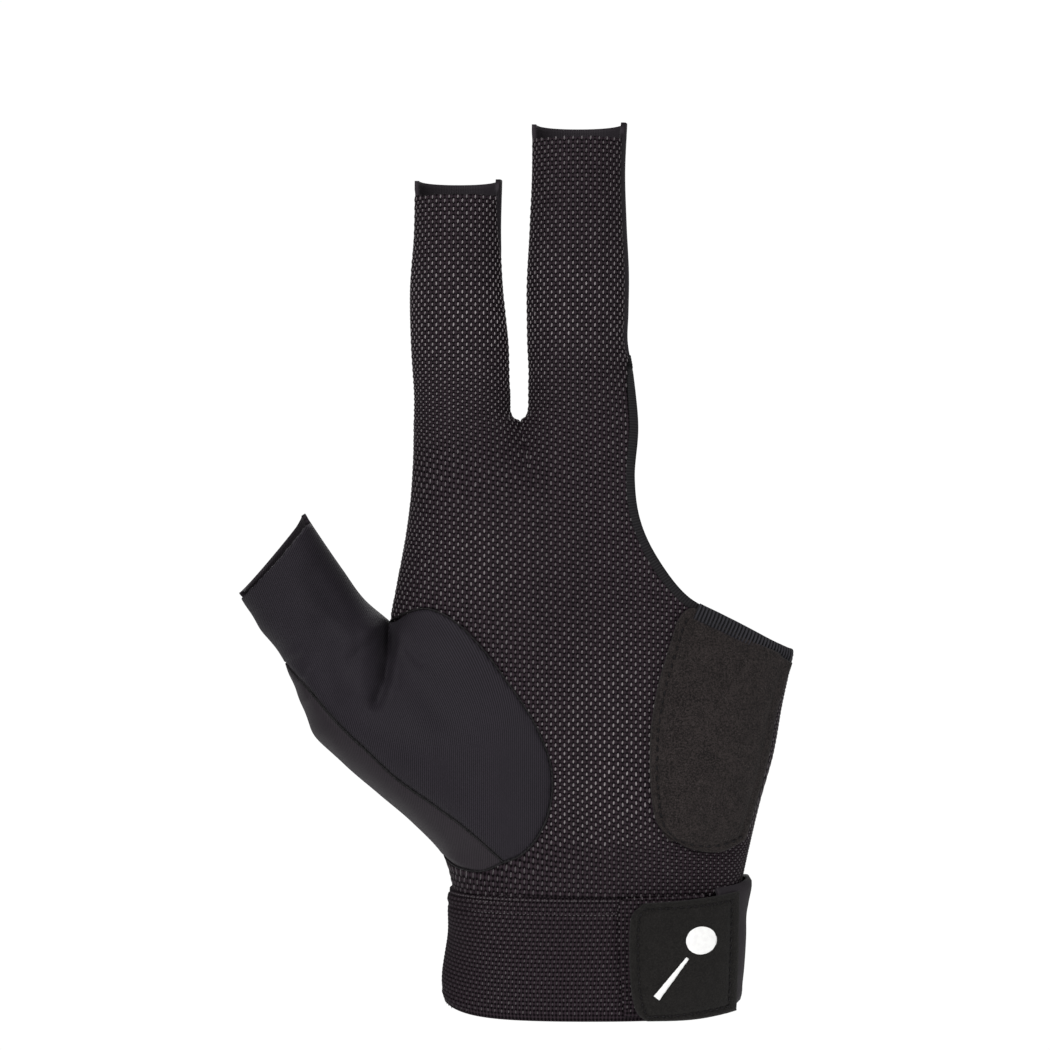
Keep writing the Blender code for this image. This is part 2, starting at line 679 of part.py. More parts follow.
def laid_sheet(name, tree, grid, low, thickness, collection):
    inner = [[laid_point(tree, x, z, low) for x, z in row] for row in grid]
    outer = [[laid_point(tree, x, z, low + thickness) for x, z in row] for row in grid]
    return double_sheet(name, outer, inner, collection)


def heel_patch(tree, collection):
    borders = [in_plane(border) for border in (PATCH_LEFT, PATCH_FOOT, PATCH_RIGHT, PATCH_TOP)]
    laid_sheet("heel_patch", tree, coons(*borders, 8, 10), LAY_GAP, PATCH_CLOTH, collection)


def cuff_point(angle, share, offset):
    """Point of the cuff's outer surface, moved outward by an offset. Angle 0 is the little finger's side."""
    spot = bisect.bisect_right([r.z for r in CUFF], share * 100) - 1
    spot = min(max(spot, 0), len(CUFF) - 2)
    low, high = CUFF[spot], CUFF[spot + 1]
    at = spot + (share * 100 - low.z) / (high.z - low.z)
    left = WRIST_BREADTH * along([r.left for r in CUFF], at) / 100 - offset
    right = WRIST_BREADTH * along([r.right for r in CUFF], at) / 100 + offset
    depth = WRIST_DEPTH / 2 * along([r.depth for r in CUFF], at) / 100 + offset
    power = 2 / CUFF_ROUNDNESS
    cos, sin = math.cos(angle), math.sin(angle)
    x = (left + right) / 2 + (right - left) / 2 * math.copysign(abs(cos) ** power, cos)
    y = depth * math.copysign(abs(sin) ** power, sin)
    rise = MOUTH_RISE * max(-cos, 0.0) ** 6 * (1 - share) ** 2
    return Vector((x, y, CUFF_HEIGHT * share + rise))


def even_angles(start, end, count):
    """Angles at equal distances round the cuff."""
    fine = [start + (end - start) * k / 720 for k in range(721)]
    spots = [cuff_point(a, 0.5, 0) for a in fine]
    runs = [0.0]
    for a, b in zip(spots, spots[1:]):
        runs.append(runs[-1] + (b - a).length)
    angles = []
    for k in range(count + 1):
        target = runs[-1] * k / count
        i = min(max(bisect.bisect_left(runs, target), 1), 720)
        t = (target - runs[i - 1]) / max(runs[i] - runs[i - 1], 1e-9)
        angles.append(fine[i - 1] + (fine[i] - fine[i - 1]) * t)
    return angles


def cuff(collection):
    around, up = 40, 4
    angles = even_angles(0, 2 * math.pi, around)[:-1]
    layers = []
    for offset in (0.0, -CLOTH):
        layers.append([[cuff_point(a, i / up, offset) for a in angles] for i in range(up + 1)])
    size = (up + 1) * around
    points = [p for layer in layers for row in layer for p in row]
    faces = []
    for i in range(up):
        for j in range(around):
            a, b = i * around + j, i * around + (j + 1) % around
            faces.append((a, b, b + around, a + around))
            faces.append((size + a, size + a + around, size + b + around, size + b))
    for j in range(around):
        k = (j + 1) % around
        faces.append((j, size + j, size + k, k))
        top = up * around
        faces.append((top + j, top + k, size + top + k, size + top + j))
    closed_object("cuff", points, faces, collection)


def strap(collection):
    """Band from the back round the little finger's side to the palm side, under the tab."""
    angles = even_angles(STRAP_FRONT_ANGLE, STRAP_BACK_ANGLE, 18)
    layers = []
    for offset in (LAY_GAP, LAY_GAP + CLOTH):
        rows = []
        for i in range(5):
            share = STRAP_FOOT + (STRAP_TOP - STRAP_FOOT) * i / 4
            rows.append([cuff_point(a, share, offset) for a in angles])
        layers.append(rows)
    double_sheet("strap", layers[1], layers[0], collection)


def closure(collection):
    """Loop patch on the cuff, and the tab over it."""
    angles = even_angles(math.pi, 2 * math.pi, 90)
    fine = [[cuff_point(a, i / 12, 0) for a in angles] for i in range(-1, 14)]
    points = [p for row in fine for p in row]
    wide = len(fine[0])
    faces = [
        (i * wide + j, i * wide + j + 1, (i + 1) * wide + j + 1, (i + 1) * wide + j)
        for i in range(len(fine) - 1)
        for j in range(wide - 1)
    ]
    tree = BVHTree.FromPolygons([tuple(p) for p in points], faces)

    def wrist(border):
        return [(WRIST_BREADTH * p.x / 100, CUFF_HEIGHT * p.z / 100) for p in border]

    loop = coons(*[wrist(b) for b in (LOOP_LEFT, LOOP_FOOT, LOOP_RIGHT, LOOP_TOP)], 8, 5)
    laid_sheet("loop_patch", tree, loop, LAY_GAP, CLOTH, collection)
    tab = coons(*[wrist(b) for b in (TAB_LEFT, TAB_FOOT, TAB_RIGHT, TAB_TOP)], 8, 8)
    laid_sheet("tab", tree, tab, 2 * LAY_GAP + CLOTH, TAB_LEATHER, collection)


def material(name, colour, roughness):
    paint = bpy.data.materials.new(name)
    paint.use_nodes = True
    shader = paint.node_tree.nodes["Principled BSDF"]
    shader.inputs["Base Color"].default_value = (*colour, 1)
    shader.inputs["Roughness"].default_value = roughness
    return paint


Finish = namedtuple("Finish", "node red green blue roughness")
FINISHES = (
    Finish("palm_mesh", 0.045, 0.040, 0.042, 0.85),
    Finish("thumb_panel", 0.022, 0.022, 0.028, 0.80),
    Finish("back_panel", 0.014, 0.014, 0.017, 0.80),
    Finish("cutout_hem", 0.012, 0.012, 0.014, 0.85),
    Finish("back_hem", 0.012, 0.012, 0.014, 0.85),
    Finish("patch_hem", 0.013, 0.012, 0.014, 0.85),
    Finish("heel_patch", 0.028, 0.025, 0.022, 0.95),
    Finish("cuff", 0.045, 0.040, 0.042, 0.85),
    Finish("strap", 0.016, 0.016, 0.019, 0.80),
    Finish("tab", 0.020, 0.018, 0.016, 0.90),
    Finish("loop_patch", 0.015, 0.015, 0.017, 0.95),
)


def finish(collection):
    for thing in collection.objects:
        for vert in thing.data.vertices:
            vert.co.y += lean(vert.co)
    for row in FINISHES:
        thing = collection.objects[row.node]
        thing.data.materials.clear()
        colour = (row.red, row.green, row.blue)
        thing.data.materials.append(material(row.node + "_cloth", colour, row.roughness))


def main():
    clear_scene()
    glove = bpy.data.collections.new("Billiard glove")
    cutters = bpy.data.collections.new("Cutters")
    for collection in (glove, cutters):
        bpy.context.scene.collection.children.link(collection)
    tree = tree_of(whole_shell(6, {name: 4 * n for name, n in COLUMNS.items()}))
    panels(tree, glove, cutters)
    heel_patch(tree, glove)
    cuff(glove)
    strap(glove)
    closure(glove)
    finish(glove)


main()
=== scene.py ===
"""Looks of a left-hand billiard glove in its worn form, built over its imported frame.

Metres, in the part's frame: fingers to +Z, the palm faces -Y, the thumb is at -X, and the origin is the
middle of the cuff's mouth. Tables give percent of the named sizes.
"""

import bisect
import json
import logging
import math
import random
from dataclasses import dataclass, field
from enum import Enum
from typing import Callable, Iterable, NamedTuple, Sequence

import bmesh
import bpy
from mathutils import Matrix, Vector
from mathutils.bvhtree import BVHTree
from mathutils.kdtree import KDTree

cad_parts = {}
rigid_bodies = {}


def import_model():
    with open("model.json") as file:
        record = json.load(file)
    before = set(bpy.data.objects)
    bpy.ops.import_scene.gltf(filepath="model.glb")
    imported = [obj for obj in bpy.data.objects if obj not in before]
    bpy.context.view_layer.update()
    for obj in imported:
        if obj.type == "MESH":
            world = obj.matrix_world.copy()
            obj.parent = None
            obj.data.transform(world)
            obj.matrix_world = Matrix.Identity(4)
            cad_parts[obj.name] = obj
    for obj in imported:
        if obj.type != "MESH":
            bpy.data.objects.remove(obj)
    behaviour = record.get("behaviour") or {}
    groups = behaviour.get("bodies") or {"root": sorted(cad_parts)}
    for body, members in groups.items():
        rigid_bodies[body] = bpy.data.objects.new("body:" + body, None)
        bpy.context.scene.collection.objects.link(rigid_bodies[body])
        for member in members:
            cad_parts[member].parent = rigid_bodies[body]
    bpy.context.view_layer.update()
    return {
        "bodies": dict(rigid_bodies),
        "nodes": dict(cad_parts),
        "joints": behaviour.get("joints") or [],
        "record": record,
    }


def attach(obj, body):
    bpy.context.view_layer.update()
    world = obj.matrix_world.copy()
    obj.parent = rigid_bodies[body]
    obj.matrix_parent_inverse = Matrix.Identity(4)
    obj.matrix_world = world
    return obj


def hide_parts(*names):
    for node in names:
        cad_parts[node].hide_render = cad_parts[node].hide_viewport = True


LOG = logging.getLogger("glove")
Flat = tuple[float, float]


class Crossing(NamedTuple):
    """Where a body row crosses the four lines that run up the hand, and how sharply two of them fold."""

    outer_x: float
    outer_z: float
    crotch_x: float
    crotch_z: float
    web_x: float
    web_z: float
    rim_x: float
    rim_z: float
    crotch_fold: float
    web_fold: float


BODY = (
    Crossing(-36.4, -1.5, -11.7, -1.5, 14.0, -1.5, 37.7, -1.5, 0.0, 0.0),
    Crossing(-39.1, 2.8, -16.1, 3.6, 13.2, 4.2, 40.0, 3.9, 0.0, 0.0),
    Crossing(-47.1, 7.2, -24.1, 8.6, 11.5, 10.1, 42.9, 10.1, 0.0, 0.0),
    Crossing(-55.6, 10.9, -32.8, 13.6, 8.0, 16.0, 46.3, 16.3, 0.0, 0.0),
    Crossing(-64.7, 14.9, -41.4, 18.6, 4.6, 21.6, 48.6, 22.8, 0.0, 0.0),
    Crossing(-72.2, 18.9, -48.3, 23.1, 0.6, 26.9, 51.6, 29.6, 0.1, 0.0),
    Crossing(-75.7, 23.5, -52.3, 27.2, -2.3, 31.3, 42.1, 32.1, 0.3, 0.0),
    Crossing(-77.9, 26.2, -53.2, 30.4, -4.6, 34.2, 32.6, 34.6, 0.6, 0.0),
    Crossing(-79.4, 28.2, -52.8, 33.7, -6.3, 37.2, 23.3, 37.2, 1.0, 0.0),
    Crossing(0.0, 0.0, -50.6, 39.5, -9.8, 41.3, 15.9, 42.0, 1.0, 0.0),
    Crossing(0.0, 0.0, -48.7, 44.8, -12.6, 45.7, 11.4, 47.0, 1.0, 0.0),
    Crossing(0.0, 0.0, -47.4, 49.8, -15.2, 50.4, 10.0, 52.6, 1.0, 0.1),
    Crossing(0.0, 0.0, -46.7, 55.4, -17.5, 55.6, 11.0, 59.3, 1.0, 0.5),
    Crossing(0.0, 0.0, -46.6, 60.5, -19.1, 60.2, 9.9, 67.0, 1.0, 1.0),
)


class Depth(NamedTuple):
    """Depths of a body row on the lines and between them."""

    thenar: float
    crotch: float
    index: float
    web: float
    middle: float
    rim: float


PALM_SIDE = (
    Depth(54, 66, 68, 65, 54, 0),
    Depth(56, 68, 68, 65, 56, 0),
    Depth(59, 69, 64, 62, 59, 0),
    Depth(61, 69, 60, 58, 60, 0),
    Depth(61, 66, 56, 54, 58, 0),
    Depth(59, 56, 52, 51, 52, 0),
    Depth(55, 44, 49, 49, 48, 36),
    Depth(51, 28, 47, 49, 48, 43),
    Depth(47, 0, 46, 49, 49, 46),
    Depth(0, 0, 46, 49, 49, 47),
    Depth(0, 0, 46, 48, 48, 46),
    Depth(0, 0, 45, 45, 46, 44),
    Depth(0, 0, 41, 31, 43, 36),
    Depth(0, 0, 36, 0, 37, 0),
)
BACK_SIDE = (
    Depth(53, 65, 67, 64, 53, 0),
    Depth(50, 60, 62, 60, 50, 0),
    Depth(46, 53, 55, 55, 48, 0),
    Depth(44, 49, 51, 51, 46, 0),
    Depth(43, 48, 50, 50, 45, 0),
    Depth(43, 46, 48, 48, 42, 0),
    Depth(41, 40, 46, 46, 43, 32),
    Depth(40, 27, 45, 46, 44, 37),
    Depth(38, 0, 44, 45, 44, 39),
    Depth(0, 0, 43, 45, 43, 40),
    Depth(0, 0, 42, 44, 42, 40),
    Depth(0, 0, 42, 41, 41, 38),
    Depth(0, 0, 38, 29, 39, 31),
    Depth(0, 0, 34, 0, 36, 0),
)


class Cross(NamedTuple):
    """One section of a sleeve: its two edges and its two depths."""

    left_x: float
    left_z: float
    right_x: float
    right_z: float
    palm_side: float
    back_side: float


THUMB = (
    Cross(-82.8, 30.9, -59.5, 36.7, 43, 37),
    Cross(-85.5, 32.8, -64.8, 40.6, 39, 35),
    Cross(-87.9, 34.8, -69.0, 43.9, 36, 33),
    Cross(-90.7, 37.5, -73.9, 47.9, 33, 31),
)
INDEX = (
    Cross(-46.6, 63.9, -21.5, 63.9, 34, 33),
    Cross(-47.4, 70.4, -22.0, 70.4, 33, 32),
    Cross(-47.6, 77.5, -23.4, 77.5, 33, 32),
    Cross(-46.6, 84.5, -24.0, 84.5, 31, 31),
    Cross(-46.3, 91.8, -23.7, 91.8, 30, 30),
)
MIDDLE = (
    Cross(-17.1, 65.1, 8.7, 70.7, 36, 34),
    Cross(-17.4, 71.0, 8.9, 74.5, 35, 34),
    Cross(-17.5, 78.1, 9.0, 79.8, 34, 33),
    Cross(-16.8, 85.1, 8.4, 86.0, 33, 32),
    Cross(-16.2, 92.2, 8.0, 92.8, 32, 31),
    Cross(-16.1, 99.2, 8.5, 99.2, 31, 31),
)


class Point(NamedTuple):
    """A point in the plane of the hand or of the cuff."""

    x: float
    z: float


THUMB_SEAM = (
    Point(-79.4, 28.2), Point(-73.6, 25.4), Point(-65.6, 20.9), Point(-57.9, 17.2),
    Point(-50.3, 13.6), Point(-40.8, 10.2), Point(-32.8, 7.2), Point(-23.2, 2.9),
)
LOBE_SEAM = (
    Point(-23.2, 2.9), Point(-19.0, 3.9), Point(-15.2, 5.9), Point(-12.4, 8.6), Point(-11.1, 11.6),
    Point(-11.1, 14.5), Point(-12.6, 17.5), Point(-16.4, 21.6), Point(-22.8, 26.4), Point(-29.1, 30.6),
    Point(-35.6, 33.8), Point(-42.0, 35.4), Point(-47.1, 35.1), Point(-52.8, 33.7), Point(-55.4, 37.4),
)
HEM_LINE = (
    Point(57.5, 28.8), Point(50.8, 29.5), Point(46.4, 29.8), Point(40.7, 31.0), Point(31.3, 33.5), Point(22.1, 36.3),
    Point(14.1, 41.2), Point(9.3, 46.8), Point(7.9, 52.5), Point(8.7, 59.1), Point(8.2, 64.6),
    Point(8.5, 67.9), Point(9.7, 69.0), Point(14.4, 70.6),
)
THUMB_BASE = Point(-62.0, 28.0)
THUMB_TIP = Point(-82.3, 42.7)
STRIP_FOOT = (Point(-23.2, 2.9), Point(-28.3, 1.7), Point(-34.3, 1.8), Point(-39.1, 2.8))
PATCH_LEFT = (
    Point(19.5, 5.8), Point(15.2, 8.1), Point(13.9, 12.2), Point(13.7, 16.9),
    Point(14.4, 21.6), Point(16.1, 26.3), Point(18.6, 30.6), Point(20.6, 33.9), Point(22.6, 35.3),
    Point(24.6, 35.7),
)
PATCH_FOOT = (Point(19.5, 5.8), Point(24.1, 4.6), Point(31.0, 4.2), Point(37.3, 5.6))
PATCH_RIGHT = (Point(37.3, 5.6), Point(40.0, 10.3), Point(43.2, 16.3), Point(45.6, 22.5), Point(49.6, 28.4))
PATCH_TOP = (Point(24.6, 35.7), Point(31.6, 33.7), Point(40.8, 31.0), Point(49.6, 28.4))


class Ring(NamedTuple):
    """Edges of the cuff at one height."""

    z: float
    left: float
    right: float
    depth: float


CUFF = (
    Ring(0.0, -50.3, 46.2, 98),
    Ring(14.0, -51.5, 47.6, 100),
    Ring(38.0, -51.4, 48.6, 101),
    Ring(64.0, -50.3, 49.2, 101),
    Ring(86.0, -49.4, 49.4, 100),
    Ring(100.0, -48.6, 49.2, 99),
)
TAB_LEFT = (
    Point(16.0, 2.6), Point(12.7, 9.0), Point(11.0, 24.0), Point(10.4, 46.0), Point(10.4, 68.0),
    Point(11.4, 82.0), Point(15.4, 89.8),
)
TAB_FOOT = (Point(16.0, 2.6), Point(30.0, 2.4), Point(43.4, 5.4))
TAB_RIGHT = (Point(43.4, 5.4), Point(44.2, 50.0), Point(44.6, 95.0))
TAB_TOP = (Point(15.4, 89.8), Point(30.0, 91.6), Point(44.6, 95.0))
LOOP_LEFT = (Point(9.0, 4.0), Point(7.6, 48.0), Point(7.2, 84.0), Point(7.9, 90.5), Point(10.0, 93.2))
LOOP_FOOT = (Point(9.0, 4.0), Point(22.0, 5.4), Point(35.0, 6.4))
LOOP_RIGHT = (Point(35.0, 6.4), Point(35.2, 50.0), Point(35.4, 94.0))
LOOP_TOP = (Point(10.0, 93.2), Point(22.0, 93.6), Point(35.4, 94.0))


class Fold(NamedTuple):
    """A wrinkle: a line in the plane of the hand, its half width, and its height out of the cloth."""

    side: str
    x: float
    z: float
    to_x: float
    to_z: float
    width: float
    height: float


FOLDS = (
    Fold("palm", -53.0, 33.4, -52.7, 29.0, 1.7, -14.0),
    Fold("palm", -52.7, 29.0, -53.5, 26.2, 1.6, -12.0),
    Fold("palm", -53.5, 26.2, -55.4, 23.6, 1.6, -8.0),
    Fold("palm", -51.6, 32.2, -44.5, 28.6, 1.3, 2.6),
    Fold("palm", -56.0, 34.5, -60.5, 33.0, 1.2, 2.0),
    Fold("palm", -56.0, 31.5, -62.0, 29.0, 1.4, -1.6),
    Fold("palm", -57.5, 32.5, -59.0, 25.5, 3.2, 5.0),
    Fold("palm", -61.5, 31.5, -57.0, 25.0, 3.4, 3.0),
    Fold("palm", -50.2, 31.0, -52.0, 25.5, 2.0, 2.6),
    Fold("palm", -79.1, 24.9, -73.2, 27.3, 1.1, 2.6),
    Fold("palm", -76.6, 22.4, -72.8, 24.0, 0.9, 2.2),
    Fold("palm", -81.0, 28.6, -74.5, 30.2, 1.3, 1.8),
    Fold("palm", -39.6, 24.0, -38.6, 13.0, 1.1, -1.4),
    Fold("palm", -66.0, 17.5, -60.0, 12.4, 1.6, 1.6),
    Fold("palm", -70.0, 33.0, -66.5, 24.0, 3.0, -3.0),
    Fold("palm", -48.0, 28.5, -38.0, 21.5, 4.4, -3.0),
    Fold("palm", -72.0, 39.5, -66.0, 35.5, 2.6, -2.4),
    Fold("palm", -19.2, 59.4, -15.4, 52.0, 2.8, -4.0),
    Fold("palm", -37.0, 2.5, -28.0, 1.0, 2.6, 4.0),
    Fold("palm", -2.0, 8.0, -2.0, 34.0, 9.0, -6.0),
    Fold("back", -50.0, 33.0, -46.0, 22.0, 4.0, -6.0),
    Fold("back", -18.8, 59.0, -12.0, 48.0, 4.0, -5.0),
    Fold("back", -60.0, 16.0, -34.0, 3.0, 4.0, 3.0),
    Fold("back", 30.0, 3.0, 42.0, 12.0, 4.0, 3.0),
    Fold("back", -40.0, 46.0, 4.0, 46.5, 4.0, 3.5),
)


class Side(Enum):
    """The two sides of the hand."""

    PALM = "palm"
    BACK = "back"


class Cloth(Enum):
    """What a face of the sewn body belongs to."""

    MESH = "palm_mesh"
    THUMB = "thumb_panel"
    BACK = "back_panel"
    HEM = "hem"
    OPEN = "open"


@dataclass(frozen=True)
class Sizes:
    """Named sizes of the glove, in metres, as its solids have them."""

    palm_breadth: float = 0.087
    reach: float = 0.170
    palm_depth: float = 0.030
    cuff_height: float = 0.029
    wrist_breadth: float = 0.066
    wrist_depth: float = 0.041
    lay_gap: float = 0.0006
    thumb_forward: float = 0.009
    fingers_forward: float = 0.003
    mouth_rise: float = 0.0022
    front_rim_drop: float = 0.0037
    thumb_rim_drop: float = 0.0020
    fullness: float = 2.25
    cuff_roundness: float = 2.3

    def plane(self, x: float, z: float) -> Flat:
        """Percent of the palm's breadth and of the reach above the cuff, to metres."""
        return self.palm_breadth * x / 100, self.cuff_height + self.lay_gap + self.reach * z / 100

    def in_plane(self, points: Iterable[Point]) -> list[Flat]:
        """Points of a table, to metres in the plane of the hand."""
        return [self.plane(p.x, p.z) for p in points]


def hermite(a: float, b: float, slope_a: float, slope_b: float, t: float) -> float:
    """Cubic from a to b over t = 0 to 1, with its slopes given per unit of t."""
    return (
        a * (2 * t**3 - 3 * t**2 + 1)
        + slope_a * (t**3 - 2 * t**2 + t)
        + b * (3 * t**2 - 2 * t**3)
        + slope_b * (t**3 - t**2)
    )


def along(values: Sequence[float], at: float, corners: Sequence[int] = ()) -> float:
    """Smooth curve through values at 0, 1, 2 and so on.

    Args:
        values: The values to pass through.
        at: Where to read the curve.
        corners: Indices where the curve has a corner.

    Returns:
        The curve's value there.
    """
    last = len(values) - 1
    i = min(max(int(at), 0), last - 1)

    def slope(k: int, side: int) -> float:
        """Slope at a value, from one side where there is a corner."""
        if k in corners or k in (0, last):
            near = min(max(k + side, 0), last)
            near = near if near != k else k - side
            return (values[near] - values[k]) / (near - k)
        return (values[k + 1] - values[k - 1]) / 2

    return hermite(values[i], values[i + 1], slope(i, 1), slope(i + 1, -1), at - i)


def smooth_path(points: Sequence[Flat], step: float) -> list[Flat]:
    """Curve through points of a plane.

    Args:
        points: The points to pass through.
        step: Distance between the points of the result, about.

    Returns:
        Points along the curve.
    """
    out: list[Flat] = []
    for i in range(len(points) - 1):
        pieces = max(1, round(math.dist(points[i], points[i + 1]) / step))
        for k in range(pieces):
            at = i + k / pieces
            out.append((along([p[0] for p in points], at), along([p[1] for p in points], at)))
    out.append(points[-1])
    return out


def within(outline: Sequence[Flat], x: float, z: float) -> bool:
    """Whether a point of the plane is inside an outline."""
    inside = False
    for (x0, z0), (x1, z1) in zip(outline, (*outline[1:], outline[0])):
        if (z0 > z) != (z1 > z) and x < x0 + (x1 - x0) * (z - z0) / (z1 - z0):
            inside = not inside
    return inside


def bell(away: float) -> float:
    """Smooth bump that is 1 at 0."""
    return math.exp(-away * away)


def ramp(value: float) -> float:
    """Smooth step from 0 to 1 over 0 to 1."""
    t = min(max(value, 0.0), 1.0)
    return t * t * (3 - 2 * t)


class Band:
    """A band of cloth from the cuff seam up one sleeve, between two lines that run up the hand."""

    def __init__(
        self, sizes: Sizes, name: str, left: str, right: str, body_rows: int,
        sleeve: Sequence[Cross], corners: dict[str, Sequence[int]],
    ) -> None:
        """Reads the band's rows from the tables.

        Args:
            sizes: The glove's sizes.
            name: thumb, index or middle.
            left: The line at its left edge.
            right: The line at its right edge.
            body_rows: How many of the body's rows it takes.
            sleeve: The sections of its sleeve.
            corners: Rows where its left and right edges have corners.
        """
        self.name = name
        self.body_rows = body_rows
        self.count = body_rows + len(sleeve)
        self.corners = corners
        body = BODY[:body_rows]
        self.lines = {
            "left": [sizes.plane(getattr(r, left + "_x"), getattr(r, left + "_z")) for r in body]
            + [sizes.plane(s.left_x, s.left_z) for s in sleeve],
            "right": [sizes.plane(getattr(r, right + "_x"), getattr(r, right + "_z")) for r in body]
            + [sizes.plane(s.right_x, s.right_z) for s in sleeve],
        }
        middle = {"thumb": "thenar", "index": "index", "middle": "middle"}[name]
        self.squares: dict[Side, list[tuple[float, float, float]]] = {}
        for side, table in ((Side.PALM, PALM_SIDE), (Side.BACK, BACK_SIDE)):
            rows = []
            for row in table[:body_rows]:
                depths = [getattr(row, line, 0.0) for line in (left, middle, right)]
                rows.append(tuple((sizes.palm_depth * d / 100) ** 2 for d in depths))
            for cross in sleeve:
                depth = cross.palm_side if side is Side.PALM else cross.back_side
                rows.append((0.0, (sizes.palm_depth * depth / 100) ** 2, 0.0))
            self.squares[side] = rows
        self.folds = {
            which: [getattr(r, line + "_fold", 1.0) for r in body] + [1.0] * len(sleeve)
            for which, line in (("left", left), ("right", right))
        }

    def edge(self, which: str, v: float) -> Flat:
        """Point of an edge in the plane of the hand."""
        points, corners = self.lines[which], self.corners[which]
        x, z = along([p[0] for p in points], v, corners), along([p[1] for p in points], v, corners)
        if self.name == "thumb" and which == "left":
            x -= sum(0.00042 * bell((z - bump) / 0.0026) for bump in (0.061, 0.0695, 0.076, 0.0846, 0.0915))
        elif 13 < v < 14 and (self.name, which) in (("index", "right"), ("middle", "left")):
            start, end = points[13][0], points[14][0]
            x = start + (end - start) * math.sqrt(1 - (1 - min((v - 13) / 0.45, 1.0)) ** 2)
        return x, z

    def breadth(self, v: float) -> float:
        """Distance between the edges."""
        return math.dist(self.edge("left", v), self.edge("right", v))

    def heights(self, side: Side, v: float) -> tuple[float, float, float]:
        """Squared depths of the left edge, the middle and the right edge."""
        rows = self.squares[side]
        left = along([r[0] for r in rows], v, self.corners["left"])
        middle = along([r[1] for r in rows], v)
        right = along([r[2] for r in rows], v, self.corners["right"])
        return max(left, 0.0), middle, max(right, 0.0)

    def fold(self, which: str, v: float) -> float:
        """How sharply the cloth turns over an edge, from 0 to 1."""
        return min(max(along(self.folds[which], v), 0.0), 1.0)


class Row(NamedTuple):
    """What all the points of one row of a band share."""

    left: Flat
    right: Flat
    heights: tuple[float, float, float]
    slopes: tuple[float, float]


